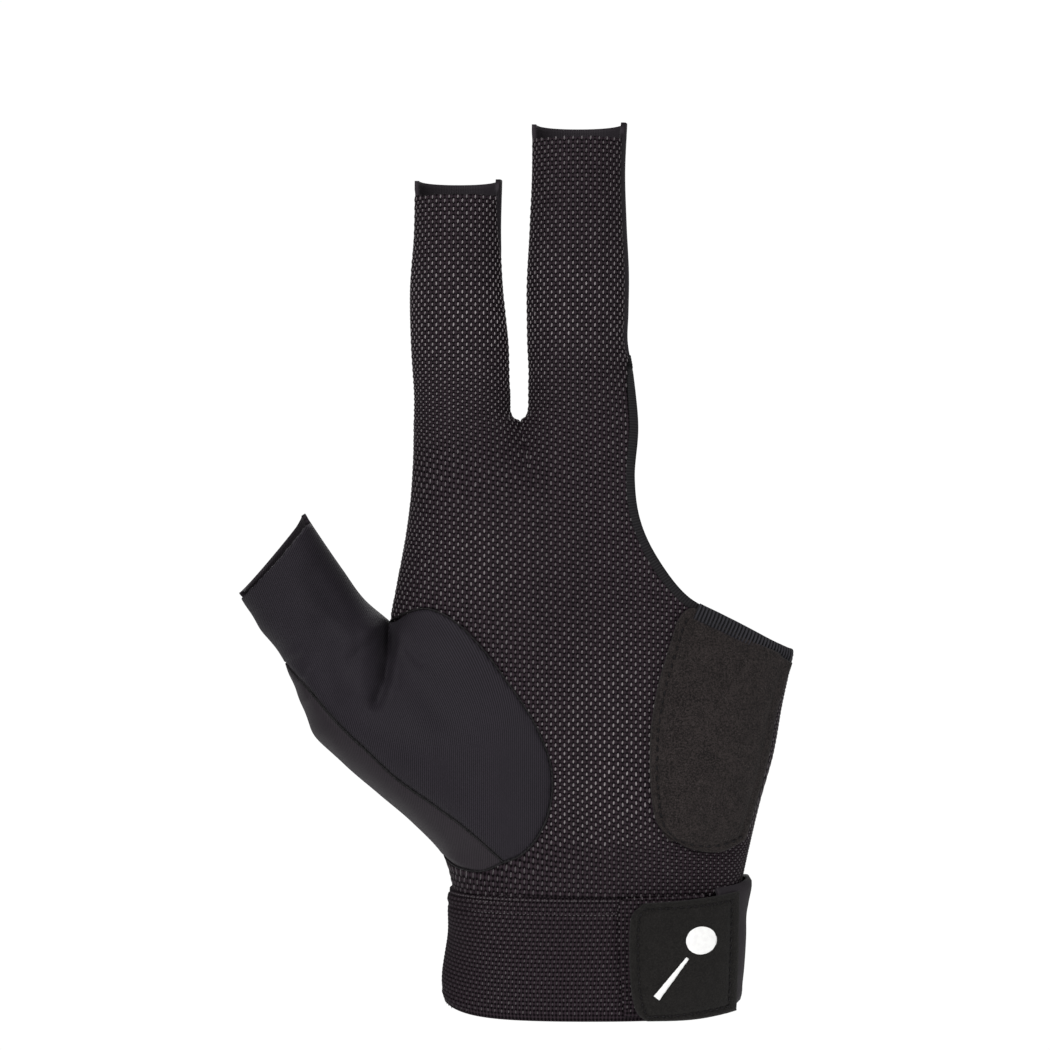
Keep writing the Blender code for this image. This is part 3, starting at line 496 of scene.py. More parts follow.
class HandForm:
    """The worn form: where each point of the sewn body lies."""

    def __init__(self, sizes: Sizes) -> None:
        """Makes the three bands of the hand.

        Args:
            sizes: The glove's sizes.
        """
        self.sizes = sizes
        plain: dict[str, Sequence[int]] = {"left": (), "right": ()}
        self.bands = {
            "thumb": Band(sizes, "thumb", "outer", "crotch", 9, THUMB, {**plain, "right": (8,)}),
            "index": Band(sizes, "index", "crotch", "web", 14, INDEX, {"left": (8,), "right": (13,)}),
            "middle": Band(sizes, "middle", "web", "rim", 14, MIDDLE, {"left": (13,), "right": (5, 13)}),
        }
        self.neighbours = {"thumb": (None, "index"), "index": ("thumb", "middle"), "middle": ("index", None)}
        self.rows: dict[tuple[str, Side, float], Row] = {}
        self.wrinkle_lines = {side: self.lines_of(side) for side in Side}

    def lines_of(self, side: Side) -> list[tuple[float, ...]]:
        """The wrinkles of one side in metres: start, run, squared length, width and height."""
        out = []
        for fold in FOLDS:
            if fold.side != side.value:
                continue
            (x0, z0), (x1, z1) = self.sizes.plane(fold.x, fold.z), self.sizes.plane(fold.to_x, fold.to_z)
            width = self.sizes.palm_breadth * fold.width / 100
            height = self.sizes.palm_depth * fold.height / 100
            out.append((x0, z0, x1 - x0, z1 - z0, (x1 - x0) ** 2 + (z1 - z0) ** 2, width, height))
        return out

    def row(self, name: str, side: Side, v: float) -> Row:
        """What the points of one row share, worked out once.

        Args:
            name: The band.
            side: Palm or back.
            v: The row.

        Returns:
            The row's edges, squared depths and edge slopes.
        """
        key = (name, side, v)
        if key not in self.rows:
            band = self.bands[name]
            heights = band.heights(side, v)
            slopes = []
            for which, height, neighbour, sign in (
                ("left", heights[0], self.neighbours[name][0], 1),
                ("right", heights[2], self.neighbours[name][1], -1),
            ):
                folded = sign * self.sizes.fullness * 2 * (heights[1] - height)
                share, smooth = band.fold(which, v), 0.0
                if neighbour and share < 1 and v <= self.bands[neighbour].count - 1:
                    other = self.bands[neighbour]
                    run = (band.breadth(v) + other.breadth(v)) / 2
                    smooth = sign * (heights[1] - other.heights(side, v)[1]) / run * band.breadth(v)
                slopes.append(share * folded + (1 - share) * smooth)
            self.rows[key] = Row(band.edge("left", v), band.edge("right", v), heights, tuple(slopes))
        return self.rows[key]

    def flat(self, name: str, v: float, share: float) -> Flat:
        """Place of a point in the plane of the hand."""
        row = self.row(name, Side.PALM, v)
        (x0, z0), (x1, z1) = row.left, row.right
        return x0 + (x1 - x0) * share, z0 + (z1 - z0) * share

    def wrinkle(self, side: Side, x: float, z: float, depth: float) -> float:
        """Height of the wrinkles at a point, fading out at the edges of the hand."""
        hill = valley = 0.0
        for x0, z0, run_x, run_z, square, width, height in self.wrinkle_lines[side]:
            t = ((x - x0) * run_x + (z - z0) * run_z) / square
            end = min(max(t, 0.0), 1.0)
            away = math.hypot(x - x0 - end * run_x, z - z0 - end * run_z) / width
            if away < 2.6:
                height *= math.exp(-away * away)
                hill, valley = max(hill, height), min(valley, height)
        return (hill + valley) * min(1.0, depth / (self.sizes.palm_depth * 0.25))

    def lean(self, x: float, z: float) -> float:
        """How far the thumb and the fingers lean forward at a point of the plane, along Y."""
        sizes = self.sizes
        base_x, base_z = sizes.plane(*THUMB_BASE)
        tip_x, tip_z = sizes.plane(*THUMB_TIP)
        run_x, run_z = tip_x - base_x, tip_z - base_z
        t = ((x - base_x) * run_x + (z - base_z) * run_z) / (run_x**2 + run_z**2)
        t = min(max((t + 0.3) / 1.3, 0.0), 1.3)
        side = ramp((sizes.plane(-50.5, 0)[0] - x) / (sizes.palm_breadth * 0.24))
        up = max(z - sizes.plane(0, 45.0)[1], 0.0) / (sizes.reach * 0.55)
        return -sizes.thumb_forward * t * t * (1.5 - 0.5 * t) * side - sizes.fingers_forward * up * up

    def point(self, name: str, side: Side, v: float, share: float) -> Vector:
        """Point of the outer surface.

        Args:
            name: The band.
            side: Palm or back.
            v: The row.
            share: Share of the breadth from the left edge.

        Returns:
            The point in the part's frame.
        """
        row = self.row(name, side, v)
        (x0, z0), (x1, z1) = row.left, row.right
        x, z = x0 + (x1 - x0) * share, z0 + (z1 - z0) * share
        left, middle, right = row.heights
        centre = (right - left) / 2
        if share <= 0.5:
            square = hermite(left, middle, row.slopes[0] / 2, centre, share * 2)
        else:
            square = hermite(middle, right, centre, row.slopes[1] / 2, share * 2 - 1)
        depth = math.sqrt(max(square, 0.0))
        depth += self.wrinkle(side, x, z, depth)
        return Vector((x, (depth if side is Side.BACK else -depth) + self.lean(x, z), z))


def bunched(share: float, left_pull: float, right_pull: float) -> float:
    """Moves a column's share of the breadth toward an edge where the cloth turns over."""
    mirrored = share > 0.5
    half = 2 * (1 - share if mirrored else share)
    pull = right_pull if mirrored else left_pull
    moved = (half + pull * (1 - math.cos(math.pi * half / 2) - half)) / 2
    return 1 - moved if mirrored else moved


@dataclass
class Spot:
    """Where a vertex lies on its band."""

    v: float
    share: float
    row: int
    column: int


@dataclass
class Sheet:
    """One side of one band as a grid of cloth."""

    name: str
    side: Side
    grid: bmesh.types.BMesh
    spots: list[Spot]
    cloths: list[Cloth] = field(default_factory=list)
    weave: list[Flat] = field(default_factory=list)


@dataclass
class SewnBody:
    """The sewn body of the glove: palm mesh, thumb panel and back, laid out as grids and cut along the seams."""

    form: HandForm
    steps: int = 12
    columns: dict[str, int] = field(default_factory=lambda: {"thumb": 40, "index": 48, "middle": 48})
    ridge: float = 0.0008
    seam_width: float = 0.0008
    seam_depth: float = 0.00042
    fray: float = 0.00022
    thumb_sag: float = 0.0013
    finger_sag: float = 0.0003

    def __post_init__(self) -> None:
        """Draws the seams in the plane and makes the grids."""
        sizes = self.form.sizes
        self.dice = random.Random(7)
        self.thumb_seam = smooth_path(sizes.in_plane(THUMB_SEAM), 0.0004)
        self.lobe_seam = smooth_path(sizes.in_plane(LOBE_SEAM), 0.0004)
        self.strip_foot = smooth_path(sizes.in_plane(STRIP_FOOT), 0.0004)
        self.hem_line = smooth_path(sizes.in_plane(HEM_LINE), 0.0004)
        beyond = [sizes.plane(-60.0, 60.0), sizes.plane(-120.0, 60.0), sizes.plane(-120.0, 28.2)]
        self.thumb_area = self.lobe_seam + beyond + self.thumb_seam
        below = [sizes.plane(-60.0, 4.0), sizes.plane(-120.0, 10.0), sizes.plane(-120.0, 28.2)]
        self.strip_area = self.thumb_seam + self.strip_foot + below
        self.hem_area = self.hem_line + [sizes.plane(120.0, 70.6), sizes.plane(120.0, 26.5)]
        self.rims = {name: self.rim_level(name) for name in self.form.bands}
        self.sheets = [self.lay_out(name, side) for name in self.form.bands for side in Side]
        self.sink_seams()
        self.trees = {side: self.tree(side) for side in Side}

    def rim_level(self, name: str) -> float:
        """Row at which the palm side of a sleeve ends."""
        sizes, band = self.form.sizes, self.form.bands[name]
        drop = sizes.thumb_rim_drop if name == "thumb" else sizes.front_rim_drop
        last = band.count - 1
        middle = [self.form.flat(name, float(v), 0.5) for v in (last - 1, last)]
        return last - drop / math.dist(*middle)

    def rim_at(self, name: str, share: float) -> float:
        """Row of the rim at a share of the breadth: lower in the middle than at the sides."""
        sag = self.thumb_sag if name == "thumb" else self.finger_sag
        return self.rims[name] - sag / 0.0115 * 4 * share * (1 - share)

    def ridge_share(self, name: str, v: float) -> float:
        """Share of the breadth at which the back's cloth shows on a finger's right edge."""
        run = v - self.form.bands[name].body_rows + 1
        rise = min(max(run - (3.6 if name == "index" else 0.0), 0.0), 1.0)
        return 1 - self.ridge * rise / self.form.bands[name].breadth(v)

    def cloth_at(self, name: str, side: Side, v: float, share: float) -> Cloth:
        """Which cloth a place on a band belongs to."""
        x, z = self.form.flat(name, v, share)
        if name == "middle" and within(self.hem_area, x, z):
            return Cloth.HEM
        if side is Side.BACK:
            return Cloth.BACK
        in_sleeve = v > self.form.bands[name].body_rows - 1
        if name != "thumb" and in_sleeve and share > self.ridge_share(name, v):
            return Cloth.BACK
        if v > self.rim_at(name, share):
            return Cloth.OPEN
        if name != "middle":
            if within(self.thumb_area, x, z):
                return Cloth.THUMB
            if within(self.strip_area, x, z):
                return Cloth.BACK
        return Cloth.MESH

    def lay_out(self, name: str, side: Side) -> Sheet:
        """Makes the grid of one side of a band, with its seams drawn onto the grid.

        Args:
            name: The band.
            side: Palm or back.

        Returns:
            The grid with its cloths and its weave coordinates.
        """
        band = self.form.bands[name]
        columns, rows = self.columns[name], (band.count - 1) * self.steps
        grid = bmesh.new()
        bmesh.ops.create_grid(grid, x_segments=columns, y_segments=rows, size=0.5)
        grid.verts.ensure_lookup_table()
        sheet = Sheet(name, side, grid, [])
        pulls: dict[int, Flat] = {}
        for vert in grid.verts:
            row, column = round((vert.co.y + 0.5) * rows), round((vert.co.x + 0.5) * columns)
            v = row / self.steps
            if row not in pulls:
                left, middle, right = self.form.row(name, side, v).heights
                left_pull = band.fold("left", v) * (1 - left / middle)
                right_pull = band.fold("right", v) * (1 - right / middle)
                pulls[row] = (max(left_pull, 0.0), max(right_pull, 0.0))
            share = bunched(column / columns, *pulls[row])
            sheet.spots.append(Spot(v, share, row, column))
        for face in grid.faces:
            spots = [sheet.spots[vert.index] for vert in face.verts]
            v, share = sum(s.v for s in spots) / 4, sum(s.share for s in spots) / 4
            sheet.cloths.append(self.cloth_at(name, side, v, share))
        self.draw_seams(sheet)
        for vert in grid.verts:
            spot = sheet.spots[vert.index]
            vert.co = self.form.point(name, side, spot.v, spot.share)
        if side is Side.BACK:
            bmesh.ops.reverse_faces(grid, faces=grid.faces)
        grid.normal_update()
        sheet.weave = self.weave_of(sheet, rows, columns)
        return sheet

    def draw_seams(self, sheet: Sheet) -> None:
        """Moves the vertices between two cloths onto the seam between them."""
        trees = {
            frozenset((Cloth.MESH, Cloth.THUMB)): path_tree(self.lobe_seam),
            frozenset((Cloth.THUMB, Cloth.BACK)): path_tree(self.thumb_seam),
            frozenset((Cloth.MESH, Cloth.BACK)): path_tree(self.strip_foot),
        }
        hem = path_tree(self.hem_line)
        last = self.columns[sheet.name]
        sheet.grid.faces.ensure_lookup_table()
        for vert in sheet.grid.verts:
            found = {sheet.cloths[face.index] for face in vert.link_faces}
            if len(found) < 2:
                continue
            spot = sheet.spots[vert.index]
            if Cloth.OPEN in found and len(found - {Cloth.OPEN}) == 1:
                spot.v = self.rim_at(sheet.name, spot.share) + self.dice.uniform(-1, 1) * self.fray / 0.0115
            elif spot.column in (0, last):
                continue
            elif Cloth.HEM in found:
                self.settle(sheet.name, spot, hem)
            elif sheet.name != "thumb" and spot.v > self.form.bands[sheet.name].body_rows - 1:
                spot.share = self.ridge_share(sheet.name, spot.v)
            else:
                self.settle(sheet.name, spot, trees[frozenset(tuple(found)[:2])])

    def settle(self, name: str, spot: Spot, path: KDTree) -> None:
        """Moves a spot to the nearest point of a path in the plane."""
        x, z = self.form.flat(name, spot.v, spot.share)
        target, _, away = path.find((x, 0.0, z))
        if away > 0.0012:
            return
        small = 1e-3
        for _ in range(2):
            x, z = self.form.flat(name, spot.v, spot.share)
            xv, zv = self.form.flat(name, spot.v + small, spot.share)
            xs, zs = self.form.flat(name, spot.v, spot.share + small)
            a, b, c, d = (xv - x) / small, (xs - x) / small, (zv - z) / small, (zs - z) / small
            to_x, to_z, size = target.x - x, target.z - z, a * d - b * c
            spot.v += (to_x * d - b * to_z) / size
            spot.share += (a * to_z - c * to_x) / size

    def weave_of(self, sheet: Sheet, rows: int, columns: int) -> list[Flat]:
        """Weave coordinates in metres: across by the cloth's own length, up by height.

        Args:
            sheet: The laid-out grid.
            rows: Its number of rows.
            columns: Its number of columns.

        Returns:
            One pair for each vertex.
        """
        band, points = self.form.bands[sheet.name], sheet.grid.verts
        index = [[0] * (columns + 1) for _ in range(rows + 1)]
        for vert in points:
            spot = sheet.spots[vert.index]
            index[spot.row][spot.column] = vert.index
        weave: list[Flat] = [(0.0, 0.0)] * len(points)
        middle = columns // 2
        for row, line in enumerate(index):
            v = row / self.steps
            start = points[line[middle]].co.x
            for step, fold in ((-1, band.fold("left", v)), (1, band.fold("right", v))):
                u, column = start, middle
                weave[line[middle]] = (start, self.weft(points[line[middle]].co))
                while 0 <= column + step <= columns:
                    a, b = points[line[column]].co, points[line[column + step]].co
                    run = math.hypot(b.x - a.x, b.y - a.y)
                    u += step * run * fold + (b.x - a.x) * (1 - fold)
                    column += step
                    weave[line[column]] = (u, self.weft(b))
        return weave

    def weft(self, place: Vector) -> float:
        """Height along the cloth: the mesh's rows drop a little toward the little finger."""
        at = (place.z - self.form.sizes.cuff_height) / self.form.sizes.reach * 100
        low = 0.22 * bell((at - 8) / 6) + 0.12 * bell((at - 42) / 16) + 0.14 * bell((at - 58) / 7)
        return place.z + low * (place.x - 0.002)

    def sink_seams(self) -> None:
        """Draws the cloth in along every seam."""
        borders = [
            sheet.grid.verts[k].co.copy()
            for sheet in self.sheets
            for k in self.seam_verts(sheet)
        ]
        seams = KDTree(len(borders))
        for k, place in enumerate(borders):
            seams.insert(place, k)
        seams.balance()
        normals: dict[tuple[int, ...], Vector] = {}
        for sheet in self.sheets:
            for vert in sheet.grid.verts:
                key = tuple(round(c * 2e4) for c in vert.co)
                normals[key] = normals.get(key, Vector()) + vert.normal
        for sheet in self.sheets:
            for vert in sheet.grid.verts:
                _, _, away = seams.find(vert.co)
                if away < self.seam_width * 2.5:
                    normal = normals[tuple(round(c * 2e4) for c in vert.co)].normalized()
                    vert.co -= normal * self.seam_depth * bell(away / self.seam_width)
            sheet.grid.normal_update()

    def seam_verts(self, sheet: Sheet) -> Iterable[int]:
        """Vertices of a grid that lie on a seam."""
        last = self.columns[sheet.name]
        for vert in sheet.grid.verts:
            found = {sheet.cloths[face.index] for face in vert.link_faces}
            sewn = len(found - {Cloth.OPEN, Cloth.HEM}) > 1
            spot = sheet.spots[vert.index]
            left_edge = spot.column == 0 and sheet.name == "thumb"
            in_sleeve = spot.v >= self.form.bands[sheet.name].body_rows - 1
            turned = sheet.side is Side.PALM and found & {Cloth.MESH, Cloth.THUMB}
            if sewn or (turned and (left_edge or (in_sleeve and spot.column in (0, last)))):
                yield vert.index

    def tree(self, side: Side) -> BVHTree:
        """Search tree of one whole side of the hand."""
        whole = bmesh.new()
        for sheet in self.sheets:
            if sheet.side is side:
                part = bpy.data.meshes.new("side")
                sheet.grid.to_mesh(part)
                whole.from_mesh(part)
                bpy.data.meshes.remove(part)
        tree = BVHTree.FromBMesh(whole)
        whole.free()
        return tree

    def laid(self, x: float, z: float, offset: float, side: Side = Side.PALM) -> tuple[Vector, Vector]:
        """Point at an offset outside one side, and the normal there."""
        sign = 1 if side is Side.BACK else -1
        place, normal, _, _ = self.trees[side].ray_cast(Vector((x, sign * 0.1, z)), Vector((0, -sign, 0)))
        if place is None:
            place, normal, _, _ = self.trees[side].find_nearest(Vector((x, 0, z)))
        if normal.y * sign < 0:
            normal = -normal
        return place + normal * offset, normal

    def panel(self, cloth: Cloth, name: str) -> bpy.types.Object:
        """Joins the faces of one cloth into a piece.

        Args:
            cloth: The cloth.
            name: The piece's name.

        Returns:
            The piece, one layer thick.
        """
        joined = bmesh.new()
        for sheet in self.sheets:
            if cloth not in sheet.cloths:
                continue
            part = sheet.grid.copy()
            layer = part.loops.layers.uv.new("weave")
            part.faces.ensure_lookup_table()
            for face in part.faces:
                for loop in face.loops:
                    loop[layer].uv = sheet.weave[loop.vert.index]
            others = [face for face in part.faces if sheet.cloths[face.index] is not cloth]
            bmesh.ops.delete(part, geom=others, context="FACES")
            mesh = bpy.data.meshes.new("part")
            part.to_mesh(mesh)
            part.free()
            joined.from_mesh(mesh)
            bpy.data.meshes.remove(mesh)
        bmesh.ops.remove_doubles(joined, verts=joined.verts, dist=0.00012)
        return piece_from(joined, name)


def path_tree(path: Sequence[Flat]) -> KDTree:
    """Search tree of a path in the plane of the hand."""
    tree = KDTree(len(path))
    for k, (x, z) in enumerate(path):
        tree.insert((x, 0.0, z), k)
    tree.balance()
    return tree


def piece_from(work: bmesh.types.BMesh, name: str) -> bpy.types.Object:
    """Turns a bmesh into a smooth-shaded object at the origin."""
    for face in work.faces:
        face.smooth = True
    mesh = bpy.data.meshes.new(name)
    work.to_mesh(mesh)
    work.free()
    piece = bpy.data.objects.new(name, mesh)
    bpy.context.scene.collection.objects.link(piece)
    return piece


def thicken(piece: bpy.types.Object, thickness: float) -> None:
    """Gives a layer of cloth its thickness, inward."""
    wall = piece.modifiers.new("Cloth", "SOLIDIFY")
    wall.thickness = thickness
    wall.offset = -1
    wall.use_even_offset = False


@dataclass
class Wrist:
    """The cuff's tube, and what lies round it."""

    sizes: Sizes
    around: int = 220
    up: int = 44
    tuck: float = 1.045
    hem_height: float = 0.0022
    hem_swell: float = 0.00035

    def ring_point(self, angle: float, share: float, offset: float) -> Vector:
        """Point of the cuff's outer surface, moved outward by an offset. Angle 0 is the little finger's side."""
        s = self.sizes
        spot = min(max(bisect.bisect_right([r.z for r in CUFF], share * 100) - 1, 0), len(CUFF) - 2)
        at = spot + (share * 100 - CUFF[spot].z) / (CUFF[spot + 1].z - CUFF[spot].z)
        left = s.wrist_breadth * along([r.left for r in CUFF], at) / 100 - offset
        right = s.wrist_breadth * along([r.right for r in CUFF], at) / 100 + offset
        depth = s.wrist_depth / 2 * along([r.depth for r in CUFF], at) / 100 + offset
        power = 2 / s.cuff_roundness
        cos, sin = math.cos(angle), math.sin(angle)
        x = (left + right) / 2 + (right - left) / 2 * math.copysign(abs(cos) ** power, cos)
        y = depth * math.copysign(abs(sin) ** power, sin)
        return Vector((x, y, s.cuff_height * share + s.mouth_rise * max(-cos, 0.0) ** 6 * (1 - share) ** 2))

    def even_angles(self, start: float, end: float, count: int) -> list[float]:
        """Angles at equal distances round the cuff."""
        fine = [start + (end - start) * k / 1440 for k in range(1441)]
        spots = [self.ring_point(a, 0.5, 0) for a in fine]
        runs = [0.0]
        for a, b in zip(spots, spots[1:]):
            runs.append(runs[-1] + (b - a).length)
        angles = []
        for k in range(count + 1):
            target = runs[-1] * k / count
            i = min(max(bisect.bisect_left(runs, target), 1), 1440)
            t = (target - runs[i - 1]) / max(runs[i] - runs[i - 1], 1e-9)
            angles.append(fine[i - 1] + (fine[i] - fine[i - 1]) * t)
        return angles

    def relief(self, angle: float, share: float) -> float:
        """Height of the cuff's own folds: its doubled lower edge, its seam line and the creases by the thumb."""
        height = share * self.sizes.cuff_height
        out = self.hem_swell * (1 - ramp((height - self.hem_height) / 0.0008))
        out -= 0.0012 * ramp((height - 0.0268) / 0.0006)
        out -= 0.00028 * (bell((height - 0.0262) / 0.0005) + bell((height - 0.0234) / 0.0005))
        out += 0.00016 * bell((height - 0.0248) / 0.0008)
        thumb_side = bell((angle - math.pi - 0.35) / 0.5)
        out += thumb_side * 0.0005 * math.sin(height / 0.0032 + 2.2 * (angle - math.pi))
        out += 0.00035 * math.sin(3 * angle + 1) * math.sin(math.pi * share)
        return out

    def cuff(self) -> bpy.types.Object:
        """Wrist band, one layer thick."""
        angles = self.even_angles(0, 2 * math.pi, self.around)
        girth = sum(
            (self.ring_point(b, 0.5, 0) - self.ring_point(a, 0.5, 0)).length for a, b in zip(angles, angles[1:])
        )
        work = bmesh.new()
        bmesh.ops.create_grid(work, x_segments=self.around, y_segments=self.up, size=0.5)
        layer = work.loops.layers.uv.new("weave")
        for face in work.faces:
            for loop in face.loops:
                place = loop.vert.co
                loop[layer].uv = ((place.x + 0.5) * girth, (place.y + 0.5) * self.sizes.cuff_height)
        for vert in work.verts:
            angle, share = angles[round((vert.co.x + 0.5) * self.around)], (vert.co.y + 0.5) * self.tuck
            vert.co = self.ring_point(angle, share, self.relief(angle, share))
        bmesh.ops.remove_doubles(work, verts=work.verts, dist=0.00002)
        return piece_from(work, "wrist_cuff")

    def strap(self, columns: int = 90, rows: int = 30) -> bpy.types.Object:
        """Stretch band from the back round the little finger's side, drawn in along its edges."""
        angles = self.even_angles(-0.71, 1.30, columns)
        work = bmesh.new()
        bmesh.ops.create_grid(work, x_segments=columns, y_segments=rows, size=0.5)
        layer = work.loops.layers.uv.new("weave")
        for face in work.faces:
            for loop in face.loops:
                loop[layer].uv = ((loop.vert.co.x + 0.5) * 0.058, (loop.vert.co.y + 0.5) * 0.027)
        for vert in work.verts:
            s, t = vert.co.x + 0.5, vert.co.y + 0.5
            angle = angles[round(s * columns)]
            share = 0.05 + 0.935 * t
            edge = min(t, 1 - t) * 0.027
            swell = 0.0010 * bell((angle + 0.05) / 0.35) * bell((t - 0.97) / 0.16)
            waist = -0.0002 * bell((angle + 0.1) / 0.5) * bell((t - 0.72) / 0.10)
            offset = self.sizes.lay_gap + 0.0012 + swell + waist - 0.0005 * bell(edge / 0.0005)
            offset += 0.00015 * math.sin(edge / 0.0011) * bell(edge / 0.004)
            place = self.ring_point(angle, share, offset)
            place.z += 0.0012 * bell((angle + 0.05) / 0.35) * max(t - 0.8, 0.0) / 0.2
            vert.co = place
        return piece_from(work, "wrist_strap")

    def face_tree(self) -> BVHTree:
        """Search tree of the cuff's palm side."""
        columns, rows = 110, 16
        angles = self.even_angles(math.pi, 2 * math.pi, columns)
        work = bmesh.new()
        bmesh.ops.create_grid(work, x_segments=columns, y_segments=rows, size=0.5)
        for vert in work.verts:
            angle = angles[round((vert.co.x + 0.5) * columns)]
            vert.co = self.ring_point(angle, (vert.co.y + 0.5) * 1.2 - 0.1, 0)
        work.normal_update()
        tree = BVHTree.FromBMesh(work)
        work.free()
        return tree


@dataclass
class LaidSheet:
    """A cut piece sewn or laid on the cloth: four borders in the plane, and its rise over what carries it."""

    name: str
    borders: tuple[list[Flat], list[Flat], list[Flat], list[Flat]]
    carrier: Callable[[float, float, float], tuple[Vector, Vector]]
    rise: float
    thickness: float
    stitch_in: float
    columns: int = 56
    rows: int = 64
    rounding: float = 0.0006
    valley: float = 0.00050

    def at(self, s: float, t: float) -> Flat:
        """Point of the plane at shares across and up, between the four borders."""
        left, foot, right, top = (
            (along([p[0] for p in b], k * (len(b) - 1)), along([p[1] for p in b], k * (len(b) - 1)))
            for b, k in zip(self.borders, (t, s, t, s))
        )
        foot_line, top_line = self.borders[1], self.borders[3]
        corners = (
            ((1 - s) * (1 - t), foot_line[0]), (s * (1 - t), foot_line[-1]),
            ((1 - s) * t, top_line[0]), (s * t, top_line[-1]),
        )
        return tuple(
            (1 - s) * left[k] + s * right[k] + (1 - t) * foot[k] + t * top[k] - sum(w * p[k] for w, p in corners)
            for k in (0, 1)
        )

    def inset(self, s: float, t: float) -> float:
        """Distance to the nearest border, about."""
        wide = math.dist(self.at(0.0, t), self.at(1.0, t))
        tall = math.dist(self.at(s, 0.0), self.at(s, 1.0))
        return min(s * wide, (1 - s) * wide, t * tall, (1 - t) * tall)

    def build(self) -> bpy.types.Object:
        """Makes the sheet's upper layer, rounded at its edge and drawn in along its stitches."""
        work = bmesh.new()
        bmesh.ops.create_grid(work, x_segments=self.columns, y_segments=self.rows, size=0.5)
        layer = work.loops.layers.uv.new("weave")
        flats = {vert.index: self.at(vert.co.x + 0.5, vert.co.y + 0.5) for vert in work.verts}
        for face in work.faces:
            for loop in face.loops:
                loop[layer].uv = flats[loop.vert.index]
        for vert in work.verts:
            inset = self.inset(vert.co.x + 0.5, vert.co.y + 0.5)
            lift = self.thickness - self.rounding * bell(inset / 0.00045)
            lift -= self.valley * bell((inset - self.stitch_in) / 0.0006)
            lift += 0.00018 * ramp((inset - self.stitch_in) / 0.006)
            vert.co = self.carrier(*flats[vert.index], self.rise + lift)[0]
        return piece_from(work, self.name)

    def stitch_line(self, sides: str) -> list[list[Vector]]:
        """Paths a little inside the borders named: l, f, r and t for left, foot, right and top."""
        lines = []
        for side in sides:
            path = []
            for k in range(121):
                run = k / 120
                wide = math.dist(self.at(0.0, run), self.at(1.0, run))
                tall = math.dist(self.at(run, 0.0), self.at(run, 1.0))
                spots = {
                    "l": (self.stitch_in / wide, run), "r": (1 - self.stitch_in / wide, run),
                    "f": (run, self.stitch_in / tall), "t": (run, 1 - self.stitch_in / tall),
                }
                s, t = spots[side]
                if self.inset(s, t) > self.stitch_in * 0.9:
                    place, normal = self.carrier(*self.at(s, t), self.rise + self.thickness - 0.7 * self.valley)
                    path.append((place, normal))
            lines.append(path)
        return lines


class Rail(NamedTuple):
    """A station of a swept band: its middle, the way across it, the way out of the cloth, and its width's factor."""

    middle: Vector
    across: Vector
    out: Vector
    width: float = 1.0


def swept(
    name: str, rails: Sequence[Rail], half_width: float, half_depth: float, around: int = 20,
    shape: Callable[[float, float], float] = lambda run, turn: 1.0, closed: bool = False,
) -> bpy.types.Object:
    """Sweeps a flattened rounded section along rails.

    Args:
        name: The piece's name.
        rails: The stations.
        half_width: Half the section's width.
        half_depth: Half the section's depth.
        around: Faces round the section.
        shape: Factor on the section's depth, from the distance along and the turn round.
        closed: Whether the band is a ring.

    Returns:
        The piece.
    """
    runs = [0.0]
    for a, b in zip(rails, rails[1:]):
        runs.append(runs[-1] + (b.middle - a.middle).length)
    work = bmesh.new()
    bmesh.ops.create_grid(work, x_segments=around, y_segments=len(rails) - 1, size=0.5)
    layer = work.loops.layers.uv.new("weave")
    girth = 2 * math.pi * (half_width + half_depth) / 2
    for face in work.faces:
        for loop in face.loops:
            k = round((loop.vert.co.y + 0.5) * (len(rails) - 1))
            loop[layer].uv = ((loop.vert.co.x + 0.5) * girth, runs[k])
    for vert in work.verts:
        k = round((vert.co.y + 0.5) * (len(rails) - 1))
        turn = -2 * math.pi * (vert.co.x + 0.5)
        cos, sin = math.cos(turn), math.sin(turn)
        wide = math.copysign(abs(cos) ** 0.8, cos) * half_width
        deep = math.copysign(abs(sin) ** 0.8, sin) * half_depth * shape(runs[k], turn)
        rail = rails[k]
        vert.co = rail.middle + rail.across * wide * rail.width + rail.out * deep
    bmesh.ops.remove_doubles(work, verts=work.verts, dist=0.000004)
    if not closed:
        bmesh.ops.holes_fill(work, edges=[e for e in work.edges if e.is_boundary], sides=0)
    bmesh.ops.recalc_face_normals(work, faces=work.faces)
    return piece_from(work, name)


def rails_along(path: Sequence[tuple[Vector, Vector]]) -> list[Rail]:
    """Rails along a path of places and normals."""
    rails = []
    for k, (place, normal) in enumerate(path):
        before, after = path[max(k - 1, 0)][0], path[min(k + 1, len(path) - 1)][0]
        rails.append(Rail(place, normal.cross(after - before).normalized(), normal))
    return rails


def scattered(name: str, frames: Sequence[Matrix], shine: Sequence[float]) -> bpy.types.Object:
    """Small closed grains, such as knots of a weave or stitches, one in each frame.

    Args:
        name: The piece's name.
        frames: Each grain's place, directions and half sizes.
        shine: Each grain's brightness, from 0 to 1.

    Returns:
        The piece.
    """
    whole = bmesh.new()
    for start in range(0, len(frames), 50):
        some = bmesh.new()
        for frame in frames[start : start + 50]:
            bmesh.ops.create_icosphere(some, subdivisions=1, radius=1.0, matrix=frame)
        part = bpy.data.meshes.new("grains")
        some.to_mesh(part)
        some.free()
        whole.from_mesh(part)
        bpy.data.meshes.remove(part)
    size = len(whole.verts) // max(len(frames), 1)
    glow = whole.verts.layers.float.new("shine")
    whole.verts.index_update()
    for vert in whole.verts:
        vert[glow] = shine[vert.index // size]
    return piece_from(whole, name)


def frame_of(place: Vector, x: Vector, y: Vector, z: Vector) -> Matrix:
    """Matrix whose columns are three half axes and a place."""
    return Matrix((
        (x.x, y.x, z.x, place.x), (x.y, y.y, z.y, place.y), (x.z, y.z, z.z, place.z), (0.0, 0.0, 0.0, 1.0),
    ))


